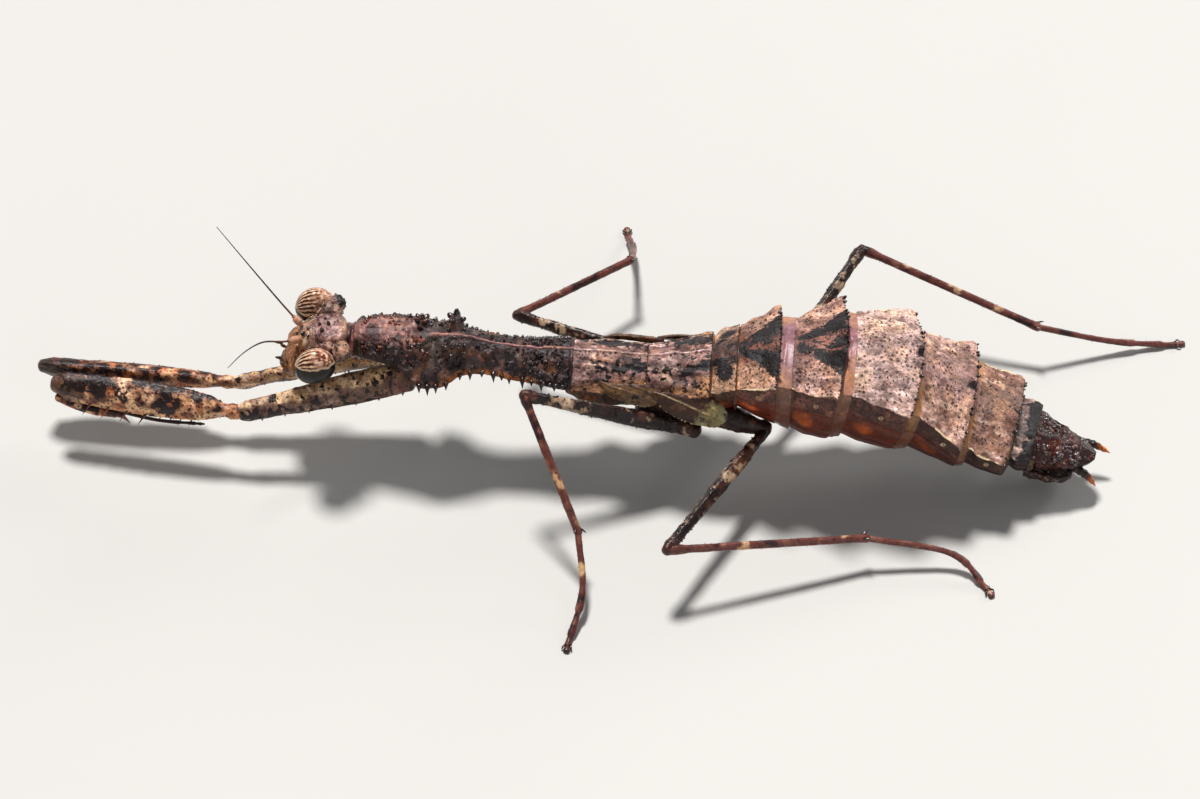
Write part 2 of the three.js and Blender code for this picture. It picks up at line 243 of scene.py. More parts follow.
def add_masks(piece: Piece, masks: Masks) -> None:
    """Store one number, or one colour, for each vertex under each name.

    Args:
        piece: The piece.
        masks: Values by name.
    """
    for name, values in masks.items():
        if values.ndim == 2:
            layer = piece.data.attributes.new(name, "FLOAT_COLOR", "POINT")
            rgba = np.concatenate([values[:, :3], np.ones((len(values), 1))], axis=1)
            layer.data.foreach_set("color", rgba.astype(np.float32).ravel())
        else:
            layer = piece.data.attributes.new(name, "FLOAT", "POINT")
            layer.data.foreach_set("value", values.astype(np.float32))


def skin_masks(
    tint: Array, ink: Array = 0.0, film: Array = 0.0, rim: Array = 0.0, pits: Array = 0.0
) -> Masks:
    """Name a skin's colours and masks, each mask spread over all its points.

    Args:
        tint: Colours.
        ink: Where the skin is black.
        film: Where it is soft and wet.
        rim: Where it has pale edges.
        pits: How thickly it is dotted.

    Returns:
        Colours and masks by name.
    """
    parts = {"ink": ink, "film": film, "rim": rim, "pits": pits}
    shape = tint.shape[:-1]
    return {"tint": tint, **{name: part + np.zeros(shape) for name, part in parts.items()}}


def woven(name: str, points: Array, masks: Masks) -> Piece:
    """Shape a grid into a closed skin.

    Args:
        name: Name of the new piece.
        points: Places in millimetres, rows by columns by 3. The first and last columns
            coincide, and so do all points of the first row and of the last.
        masks: Numbers (rows by columns) or colours (rows by columns by 3) by name.

    Returns:
        The new piece.
    """
    rows, cols = points.shape[:2]
    clear_selection()
    bpy.ops.mesh.primitive_grid_add(x_subdivisions=cols - 1, y_subdivisions=rows - 1, size=2)
    piece = bpy.context.object
    piece.name = piece.data.name = name
    flat = read_points(piece)
    col = np.rint((flat[:, 0] + 1) / 2 * (cols - 1)).astype(int)
    row = np.rint((flat[:, 1] + 1) / 2 * (rows - 1)).astype(int)
    write_points(piece, points[row, col])
    add_masks(piece, {key: value[row, col] for key, value in masks.items()})
    close_skin(piece)
    return piece


def dress(piece: Piece, material: Material, slot: str, *nodes: str) -> None:
    """Finish a piece, and let it ride on the body.

    Args:
        piece: The piece.
        material: Its material.
        slot: Not used.
        nodes: The solids that it stands for.
    """
    piece.data.materials.clear()
    piece.data.materials.append(material)
    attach(piece, "root")
    if nodes:
        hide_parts(*nodes)
    log.info("%s: %d faces", piece.name, len(piece.data.polygons))


def turned(name: str, profile: Sequence[tuple[float, float]], sides: int) -> Piece:
    """Raise a round form by extruding and resizing a disc, ring by ring.

    Args:
        name: Name of the new piece.
        profile: Radius and height of each ring, from the foot up.
        sides: Number of sides.

    Returns:
        The new piece, one unit in scale, standing on the origin.
    """
    clear_selection()
    radius, height = profile[0]
    bpy.ops.mesh.primitive_circle_add(
        vertices=sides, radius=radius, fill_type="NGON", location=(0, 0, height)
    )
    piece = bpy.context.object
    piece.name = piece.data.name = name
    bpy.ops.object.transform_apply(location=True, rotation=True, scale=True)
    bpy.ops.object.mode_set(mode="EDIT")
    bpy.ops.mesh.select_all(action="SELECT")
    for (r0, z0), (r1, z1) in zip(profile, profile[1:]):
        bpy.ops.mesh.extrude_region_move(TRANSFORM_OT_translate={"value": (0, 0, z1 - z0)})
        bpy.ops.transform.resize(value=(r1 / r0, r1 / r0, 1))
    bpy.ops.mesh.select_all(action="SELECT")
    bpy.ops.mesh.normals_make_consistent(inside=False)
    bpy.ops.object.mode_set(mode="OBJECT")
    return piece


@dataclass(frozen=True)
class Spot:
    """Where a small form stands: its root, the way it points, its width and height."""

    place: Point
    way: Point
    width: float
    height: float


class Form(Enum):
    """Outlines of the small forms that stud the shell, as radius and height of rings."""

    BEAD = ((1.0, -0.5), (1.0, 0.15), (0.86, 0.55), (0.5, 0.88), (0.05, 1.0))
    THORN = ((1.0, -0.4), (0.72, 0.1), (0.42, 0.4), (0.22, 0.72), (0.02, 1.0))
    KNOB = ((1.0, -0.6), (1.12, 0.1), (1.0, 0.55), (0.7, 0.9), (0.3, 1.05), (0.03, 1.08))
    HAIR = ((1.0, -0.1), (0.8, 0.35), (0.5, 0.7), (0.05, 1.0))
    RING = ((1.0, -0.5), (1.0, 0.6), (0.8, 1.0), (0.55, 0.9), (0.42, 0.2), (0.02, 0.0))


def studded(name: str, form: Form, spots: Sequence[Spot], sides: int = 8) -> Piece:
    """Copy one small form to every spot and join the copies.

    Args:
        name: Name of the new piece.
        form: Outline of the small form.
        spots: Where the copies stand.
        sides: Number of sides of the form.

    Returns:
        One piece holding all the copies.
    """
    model = turned("model", form.value, sides)
    verts = np.array([v.co for v in model.data.vertices], float)
    faces = [tuple(p.vertices) for p in model.data.polygons]
    bpy.data.objects.remove(model)
    all_verts, all_faces = [], []
    for spot in spots:
        up = unit(np.asarray(spot.way, float))
        other = np.array([0.0, 0.0, 1.0]) if abs(up[2]) < 0.9 else np.array([1.0, 0.0, 0.0])
        side = unit(np.cross(other, up))
        axes = np.stack([side, np.cross(up, side), up])
        scaled = verts * np.array([spot.width / 2, spot.width / 2, spot.height])
        start = len(all_verts) * len(verts)
        all_verts.append((np.asarray(spot.place, float) + scaled @ axes) * MM)
        all_faces.extend(tuple(i + start for i in f) for f in faces)
    mesh = bpy.data.meshes.new(name)
    mesh.from_pydata(np.concatenate(all_verts).tolist(), [], all_faces)
    piece = bpy.data.objects.new(name, mesh)
    bpy.context.collection.objects.link(piece)
    for polygon in mesh.polygons:
        polygon.use_smooth = True
    return piece


# ------------------------------------------------------------------ shaders
class Sketch:
    """A node tree with short words for the nodes that the finishes use."""

    def __init__(self, tree: Tree) -> None:
        """Start on an existing tree."""
        self.tree = tree

    def add(self, kind: str, inputs: dict | None = None, **settings: object) -> bpy.types.Node:
        """Add a node, set it up and feed its inputs.

        Args:
            kind: Node type, without its first word.
            inputs: Values or sockets by input.
            settings: Settings of the node.

        Returns:
            The node.
        """
        node = self.tree.nodes.new(kind)
        for key, value in settings.items():
            setattr(node, key, value)
        for key, value in (inputs or {}).items():
            self.feed(node.inputs[key], value)
        return node

    def feed(self, socket: Socket, value: object) -> None:
        """Link an output to a socket, or set the socket's own value.

        Args:
            socket: The input.
            value: An output or a plain value.
        """
        if isinstance(value, Socket):
            self.tree.links.new(value, socket)
        else:
            socket.default_value = value

    def group(self, tree: Tree, inputs: dict) -> bpy.types.Node:
        """Place a shader group and feed it."""
        return self.add("ShaderNodeGroup", inputs, node_tree=tree)

    def math(self, kind: str, a: object, b: object = 0.0, clamp: bool = False) -> Socket:
        """Combine two numbers."""
        return self.add("ShaderNodeMath", {0: a, 1: b}, operation=kind, use_clamp=clamp).outputs[0]

    def plus(self, a: object, b: object) -> Socket:
        """Add two numbers."""
        return self.math("ADD", a, b)

    def minus(self, a: object, b: object) -> Socket:
        """Take the second number from the first."""
        return self.math("SUBTRACT", a, b)

    def times(self, a: object, b: object) -> Socket:
        """Multiply two numbers."""
        return self.math("MULTIPLY", a, b)

    def mask(self, name: str) -> Socket:
        """Read one of the piece's stored numbers."""
        return self.add("ShaderNodeAttribute", attribute_name=name).outputs["Fac"]

    def paint(self, name: str) -> Socket:
        """Read one of the piece's stored colours."""
        return self.add("ShaderNodeAttribute", attribute_name=name).outputs["Color"]

    def place(self) -> Socket:
        """The point's place in the frame."""
        return self.add("ShaderNodeTexCoord").outputs["Object"]

    def noise(self, place: object, size: float, detail: float = 3.0, rough: float = 0.55) -> Socket:
        """Cloudy pattern from 0 to 1 with lumps of size millimetres."""
        keys = {"Vector": place, "Scale": 1000 / size, "Detail": detail, "Roughness": rough}
        return self.add("ShaderNodeTexNoise", keys).outputs[0]

    def cells(self, place: object, size: float) -> Socket:
        """Distance from the middle of scattered cells of size millimetres."""
        keys = {"Vector": place, "Scale": 1000 / size}
        return self.add("ShaderNodeTexVoronoi", keys).outputs["Distance"]

    def step(self, value: object, low: float, high: float) -> Socket:
        """Pass smoothly from 0 to 1 as a value goes from low to high."""
        keys = {0: value, 1: low, 2: high, 3: 0.0, 4: 1.0}
        return self.add("ShaderNodeMapRange", keys, interpolation_type="SMOOTHSTEP").outputs[0]

    def blend(self, share: object, a: object, b: object, kind: str = "MIX") -> Socket:
        """Mix two colours."""
        keys = {0: share, 6: a, 7: b}
        return self.add("ShaderNodeMix", keys, data_type="RGBA", blend_type=kind).outputs[2]

    def grey(self, value: object) -> Socket:
        """Turn a number into a grey of that brightness."""
        return self.add("ShaderNodeCombineColor", {0: value, 1: value, 2: value}).outputs[0]

    def relief(self, height: object, depth: float) -> Socket:
        """Tilt the surface by a height of depth millimetres."""
        keys = {"Height": height, "Distance": depth * MM, "Strength": 1.0}
        return self.add("ShaderNodeBump", keys).outputs[0]


def new_group(
    name: str, inputs: dict[str, str], outputs: dict[str, str]
) -> tuple[Tree, Sketch, bpy.types.Node, bpy.types.Node]:
    """Start a node group with named sockets.

    Args:
        name: The group's name.
        inputs: Socket type by input name.
        outputs: Socket type by output name.

    Returns:
        The group, a sketch on it, its input node and its output node.
    """
    tree = bpy.data.node_groups.new(name, "ShaderNodeTree")
    for label, kind in inputs.items():
        tree.interface.new_socket(label, in_out="INPUT", socket_type=kind)
    for label, kind in outputs.items():
        tree.interface.new_socket(label, in_out="OUTPUT", socket_type=kind)
    sketch = Sketch(tree)
    return tree, sketch, sketch.add("NodeGroupInput"), sketch.add("NodeGroupOutput")


FLOAT, COLOUR, VECTOR = "NodeSocketFloat", "NodeSocketColor", "NodeSocketVector"


def make_mottle() -> Tree:
    """Group: clouds of lighter, darker and warmer tone over a colour.

    Returns:
        The group.
    """
    tree, s, given, out = new_group(
        "mottle",
        {"Place": VECTOR, "Tint": COLOUR, "Contrast": FLOAT},
        {"Color": COLOUR, "Height": FLOAT},
    )
    place = given.outputs["Place"]
    broad = s.noise(place, 0.9, 4, 0.65)
    fine = s.noise(place, 0.22, 4, 0.7)
    grit = s.noise(place, 0.07, 2, 0.6)
    both = s.plus(s.times(broad, 0.42), s.times(fine, 0.38))
    both = s.plus(both, s.times(grit, 0.2))
    tone = s.times(s.minus(both, 0.5), 6.5)
    tone = s.times(tone, given.outputs["Contrast"])
    gain = s.math("POWER", 2.0, tone)
    shaded = s.blend(1.0, given.outputs["Tint"], s.grey(gain), "MULTIPLY")
    warmth = s.step(s.noise(place, 1.7, 2), 0.42, 0.62)
    warm = s.blend(1.0, shaded, colour("fff2e2"), "MULTIPLY")
    cool = s.blend(1.0, shaded, colour("f6eff1"), "MULTIPLY")
    s.feed(out.inputs["Color"], s.blend(warmth, cool, warm))
    s.feed(out.inputs["Height"], both)
    return tree


def make_pits() -> Tree:
    """Group: small round dots strewn over a surface, more of them where Density is high.

    Returns:
        The group.
    """
    tree, s, given, out = new_group(
        "pits",
        {"Place": VECTOR, "Scale": FLOAT, "Density": FLOAT, "Size": FLOAT},
        {"Dot": FLOAT},
    )
    keys = {"Vector": given.outputs["Place"], "Scale": given.outputs["Scale"], "Randomness": 0.85}
    node = s.add("ShaderNodeTexVoronoi", keys)
    parts = s.add("ShaderNodeSeparateColor", {0: node.outputs["Color"]})
    kept = s.math("LESS_THAN", parts.outputs[0], given.outputs["Density"])
    size = s.times(given.outputs["Size"], s.plus(parts.outputs[1], 0.5))
    gap = s.minus(size, node.outputs["Distance"])
    dot = s.times(s.step(gap, -0.1, 0.12), kept)
    s.feed(out.inputs["Dot"], dot)
    return tree


@dataclass(frozen=True)
class Groups:
    """The shader groups that several finishes share, each made once."""

    mottle: Tree = field(default_factory=make_mottle)
    pits: Tree = field(default_factory=make_pits)


def new_material(name: str, **constants: float) -> tuple[Material, Sketch, bpy.types.Node]:
    """Start a material.

    Args:
        name: The material's name.
        constants: Values for the shader's own sockets, with _ for a space.

    Returns:
        The material, a sketch on it and its shader.
    """
    material = bpy.data.materials.new(name)
    material.use_nodes = True
    s = Sketch(material.node_tree)
    shader = material.node_tree.nodes["Principled BSDF"]
    for key, value in constants.items():
        shader.inputs[key.replace("_", " ")].default_value = value
    return material, s, shader


@dataclass(frozen=True)
class Shell:
    """Rough pitted shell that carries its colours as stored tints and masks."""

    name: str
    pit_size: float = 0.15
    contrast: float = 1.55
    gloss: float = 0.48
    ink: str = "120b0c"
    grain: float = 0.05
    coat: float = 0.0
    depth: float = 1.15

    def make(self, groups: Groups) -> Material:
        """Build the material.

        Args:
            groups: The shared node groups.

        Returns:
            The material.
        """
        material, s, shader = new_material(
            self.name, Specular_IOR_Level=0.35, Coat_Weight=self.coat, Coat_Roughness=0.08
        )
        place = s.place()
        film, soft, pitted = s.mask("film"), s.noise(place, 0.16, 4, 0.7), s.mask("pits")
        keep = s.minus(1.0, film)
        contrast = s.plus(s.times(keep, 0.75), 0.25)
        mottle = s.group(
            groups.mottle,
            {
                "Place": place,
                "Tint": s.paint("tint"),
                "Contrast": s.times(contrast, self.contrast),
            },
        )
        dots, specks = (
            s.group(
                groups.pits,
                {"Place": place, "Scale": scale / self.pit_size, "Density": pitted, "Size": size},
            )
            for scale, size in ((1000, 0.3), (1900, 0.34))
        )
        base = s.add("ShaderNodeGamma", {0: mottle.outputs["Color"], 1: self.depth}).outputs[0]
        # Dots and finer specks are painted dark where the relief below sinks them: painted shade in
        # the pits.
        pit_shade = s.times(dots.outputs["Dot"], 0.86)
        base = s.blend(pit_shade, base, colour("2e1714"))
        base = s.blend(s.times(specks.outputs["Dot"], 0.5), base, colour("4a2c28"))
        ragged = s.times(s.minus(soft, 0.5), 1.5)
        ink = s.step(s.plus(s.mask("ink"), ragged), 0.4, 0.62)
        ink_tone = s.blend(s.step(soft, 0.5, 0.75), colour(self.ink), colour("33201e"))
        base = s.blend(ink, base, ink_tone)
        rim = s.step(s.plus(s.mask("rim"), s.times(ragged, 0.6)), 0.4, 0.7)
        base = s.blend(rim, base, colour("dfc39a"))
        s.feed(shader.inputs["Base Color"], base)
        dull = s.times(film, -0.26)
        dull = s.plus(dull, s.times(s.minus(soft, 0.5), 0.35))
        s.feed(shader.inputs["Roughness"], s.math("ADD", dull, self.gloss, clamp=True))
        height = s.times(mottle.outputs["Height"], 1.6)
        height = s.plus(height, s.times(soft, 0.8))
        height = s.minus(height, s.times(dots.outputs["Dot"], 0.35))
        height = s.minus(height, s.times(specks.outputs["Dot"], 0.2))
        height = s.times(height, s.plus(s.times(keep, 0.85), 0.15))
        s.feed(shader.inputs["Normal"], s.relief(height, self.grain))
        return material


@dataclass(frozen=True)
class Lacquer:
    """Smooth glossy horn, such as beads, thorns and claws."""

    name: str
    dark: str
    light: str
    gloss: float = 0.22
    coat: float = 0.4

    def make(self, groups: Groups) -> Material:
        """Build the material.

        Args:
            groups: The shared node groups.

        Returns:
            The material.
        """
        material, s, shader = new_material(
            self.name, Roughness=self.gloss, Coat_Weight=self.coat, Coat_Roughness=0.12
        )
        place = s.place()
        share = s.step(s.noise(place, 0.5, 4, 0.7), 0.4, 0.66)
        s.feed(shader.inputs["Base Color"], s.blend(share, colour(self.dark), colour(self.light)))
        s.feed(shader.inputs["Normal"], s.relief(s.noise(place, 0.09, 2), 0.008))
        return material


@dataclass(frozen=True)
class EyeGlass:
    """Striped compound eye: wavy bands above a cream line, olive black below it."""

    name: str
    bands: float = 25.0

    def make(self, groups: Groups) -> Material:
        """Build the material.

        Args:
            groups: The shared node groups.

        Returns:
            The material.
        """
        coat = {"Coat_Weight": 0.05, "Coat_Roughness": 0.05}
        material, s, shader = new_material(
            self.name, Roughness=0.17, Specular_IOR_Level=0.22, **coat
        )
        place, low, front = s.place(), s.mask("low"), s.mask("front")
        wobble = s.minus(s.noise(place, 0.7, 3), 0.5)
        ripple = s.minus(s.noise(place, 0.18, 3), 0.5)
        level = s.plus(s.mask("turn"), s.times(wobble, 0.22))
        wave = s.math("SINE", s.times(level, self.bands))
        wave = s.plus(wave, s.times(ripple, 1.2))
        ahead = s.step(s.plus(front, wobble), -0.3, 0.3)
        patch = s.step(s.noise(place, 0.5, 3), 0.42, 0.6)
        base = s.blend(patch, colour("6b3420"), colour("b5826a"))
        base = s.blend(s.step(s.noise(place, 0.26, 3), 0.48, 0.64), base, colour("e6bfa2"))
        base = s.blend(s.times(s.step(wave, 0.0, 0.6), ahead), base, colour("2a130e"))
        light = s.times(s.step(wave, -0.45, -0.9), ahead)
        base = s.blend(s.times(light, 0.75), base, colour("ecc8a2"))
        border = s.plus(low, s.times(wobble, 0.35))
        border = s.plus(border, s.times(ripple, 0.12))
        cream = s.times(s.step(border, -0.36, -0.3), s.step(border, -0.2, -0.26))
        base = s.blend(s.times(cream, 0.9), base, colour("d6bb96"))
        cloud = s.step(s.noise(place, 0.6, 2), 0.4, 0.7)
        outer = s.blend(cloud, colour("0c0a05"), colour("262310"))
        base = s.blend(s.step(border, -0.25, -0.2), base, outer)
        s.feed(shader.inputs["Base Color"], base)
        s.feed(shader.inputs["Normal"], s.relief(s.cells(place, 0.04), 0.002))
        return material


class Finishes:
    """Every material of the model, each made once."""

    def __init__(self) -> None:
        """Make the materials."""
        self.groups = Groups()
        self.shell = self.make(Shell("bark_shell", pit_size=0.26))
        self.limb = self.make(
            Shell("limb_shell", pit_size=0.2, gloss=0.4, contrast=0.9, grain=0.04)
        )
        self.arm = self.make(
            Shell("arm_shell", pit_size=0.24, gloss=0.38, contrast=1.2, ink="1f0f0b")
        )
        self.face = self.make(
            Shell("face_shell", pit_size=0.18, gloss=0.46, contrast=1.35, grain=0.06)
        )
        self.bead = self.make(Lacquer("bead_lacquer", "0d090b", "3a201a"))
        self.amber = self.make(Lacquer("amber_lacquer", "451a14", "8c4a38"))
        self.pale = self.make(Lacquer("pale_horn", "a98a63", "dcc49a", gloss=0.4, coat=0.1))
        self.wet = self.make(
            Shell("wet_shell", pit_size=0.3, gloss=0.24, contrast=1.3, grain=0.08, coat=0.15)
        )
        self.wet_bead = self.make(Lacquer("wet_boss", "1b0907", "4e1c10", gloss=0.1, coat=1.0))
        self.eye = self.make(EyeGlass("eye_glass"))

    def make(self, finish: Shell | Lacquer | EyeGlass) -> Material:
        """Make one material with the shared groups."""
        return finish.make(self.groups)


# ------------------------------------------------------------------ trunk
@dataclass(frozen=True)
class Trunk:
    """Cross-sections of a stretch of trunk: a roofed back over a rounded belly.

    Each section runs x, height of the back's middle line, half width, drop from there to
    the side edge, depth of the belly below that edge, and backward lean in degrees.
    """

    sections: Table
    roof: float = 1.6
    bend_from: float = 20.0
    bend_over: float = 3.0
    bend_slope: float = -0.17

    def sizes(self, x: Array) -> Array:
        """Read the table at x: height, half width, drop, depth and lean for each place.

        Args:
            x: Places along the body.

        Returns:
            One row for each measure.
        """
        table = np.asarray(self.sections, float)
        flat = through(table[:, 0], table[:, 1:], np.ravel(x))
        return np.moveaxis(flat.reshape(*np.shape(x), 5), -1, 0)

    def swing(self, x: Array) -> tuple[Array, Array]:
        """How far the tail is swung sideways at x, and its slope there.

        Args:
            x: Places along the body.

        Returns:
            The shift to the side, and its slope.
        """
        past = np.maximum(x - self.bend_from, 0)
        share = np.minimum(past / self.bend_over, 1)
        straight = np.maximum(past - self.bend_over, 0)
        shift = self.bend_slope * (0.5 * share * share * self.bend_over + straight)
        return shift, self.bend_slope * share

    def place(
        self,
        x: Array,
        across: Array,
        up: Array,
        lift: Array = 0.0,
        out: Array = 0.0,
        back: Array = 0.0,
    ) -> Array:
        """Find points of the skin.

        Args:
            x: Distance along the body.
            across: Place across it, from -1 at the left edge to 1 at the right.
            up: Above 0 on the back; on the belly, minus the share of its depth.
            lift: Height of the point above the smooth skin.
            out: Extra half width.
            back: Extra distance toward the tail.

        Returns:
            Places in millimetres.
        """
        x, across, up = np.broadcast_arrays(x, across, up)
        top, half, drop, depth, lean = self.sizes(x)
        half = half + out
        wide = np.abs(across)
        dorsal = up >= 0
        fall = np.where(dorsal, drop * wide**self.roof, drop - depth * np.minimum(up, 0))
        tilt = drop * self.roof * wide ** (self.roof - 1) / half
        ny = np.where(dorsal, tilt * np.sign(across), across / half)
        nz = np.where(dorsal, 1.0, up / depth)
        length = np.hypot(ny, nz)
        side = half * across + lift * ny / length
        height = -fall + lift * nz / length
        shift, slope = self.swing(x)
        turn, angle = np.hypot(1, slope), np.radians(lean)
        return np.stack(
            [
                x + back - slope * side / turn + np.sin(angle) * height,
                BODY_PLANE + shift + side / turn,
                top + np.cos(angle) * height,
            ],
            axis=-1,
        )

    def spot(self, x: float, across: float, up: float, width: float, height: float) -> Spot:
        """A spot standing square on the skin.

        Args:
            x: Place along the body.
            across: Place across it, from -1 to 1.
            up: Above 0 on the back; on the belly, minus the share of its depth.
            width: Width of what stands there.
            height: Its height.

        Returns:
            The spot.
        """
        here = self.place(np.array(x), np.array(across), np.array(up))
        above = self.place(np.array(x), np.array(across), np.array(up), lift=1.0)
        return Spot(here, above - here, width, height)


@dataclass(frozen=True)
class Ring:
    """Columns of a trunk skin: back from left edge to right edge, then round the belly."""

    dorsal: int = 150
    ventral: int = 92

    def columns(self) -> tuple[Array, Array]:
        """Place across and up for each column, as one row. The last column repeats the first.

        Returns:
            Across and up.
        """
        t = np.linspace(-1, 1, self.dorsal)
        back = np.sign(t) * (1 - (1 - np.abs(t)) ** 1.15)
        s = np.linspace(0, 1, self.ventral)[1:]
        angle = np.pi / 2 + np.pi * (s - 0.045 * np.sin(2 * np.pi * s))
        across = np.concatenate([back, np.sin(angle)])
        up = np.concatenate([np.full(self.dorsal, 0.5), np.minimum(np.cos(angle), -1e-4)])
        across[-1], up[-1] = across[0], up[0]
        return across[None, :], up[None, :]


@dataclass(frozen=True)
class Plate:
    """One back plate of the abdomen and the ring of soft skin behind it."""

    front: float
    rear: float
    bow: float
    lip: float
    flare: float
    middle: str
    flank: str
    ring: str
    strip: str
    pits: float


def closed(points: Array) -> Array:
    """Draw the first and last rows of a tube in to their middles.

    Args:
        points: Rows of points round the tube.

    Returns:
        The same rows, with the two at the ends drawn in.
    """
    points = points.copy()
    points[0] = points[0, :-1].mean(axis=0)
    points[-1] = points[-1, :-1].mean(axis=0)
    return points


def paint_of(code: str) -> Array:
    """A screen colour as three linear numbers."""
    return np.array(colour(code)[:3])


def over(base: Array, paint: Array, share: Array) -> Array:
    """Lay a colour over others, by a share from 0 to 1 for each point."""
    share = np.asarray(share, float)[..., None]
    return base * (1 - share) + paint * share


def tint_of(first: tuple[Array, str], *layers: tuple[Array, str]) -> Array:
    """Lay colours over each other.

    Args:
        first: Any numbers in the shape of the skin, and the ground colour.
        layers: Masks and the colours that they let through, from the lowest up.

    Returns:
        A colour for each point.
    """
    tint = np.zeros((*np.shape(first[0]), 3)) + paint_of(first[1])
    for mask, code in layers:
        tint = over(tint, paint_of(code), mask)
    return tint


@dataclass(frozen=True)
class Field:
    """The points of a trunk skin before its relief, with a row for each ring of points.

    near holds their places, x and t each row's place and its progress along its plate,
    a and u each column's place across and up, plate the number of each row's plate, and
    soft is 1 on rows of soft skin.
    """

    near: Array
    x: Array
    a: Array
    u: Array
    t: Array = 0.0
    plate: Array = 0
    soft: Array = 0.0

    @property
    def wide(self) -> Array:
        """Distance from the middle line, from 0 to 1."""
        return np.abs(self.a)

    @property
    def dorsal(self) -> Array:
        """1 on the back and 0 below its side edges."""
        return (self.u >= 0) * np.ones_like(self.x)


STREAKED = np.array([0.35, 1.5, 1.5])  # squeeze of the noise for lengthwise streaks


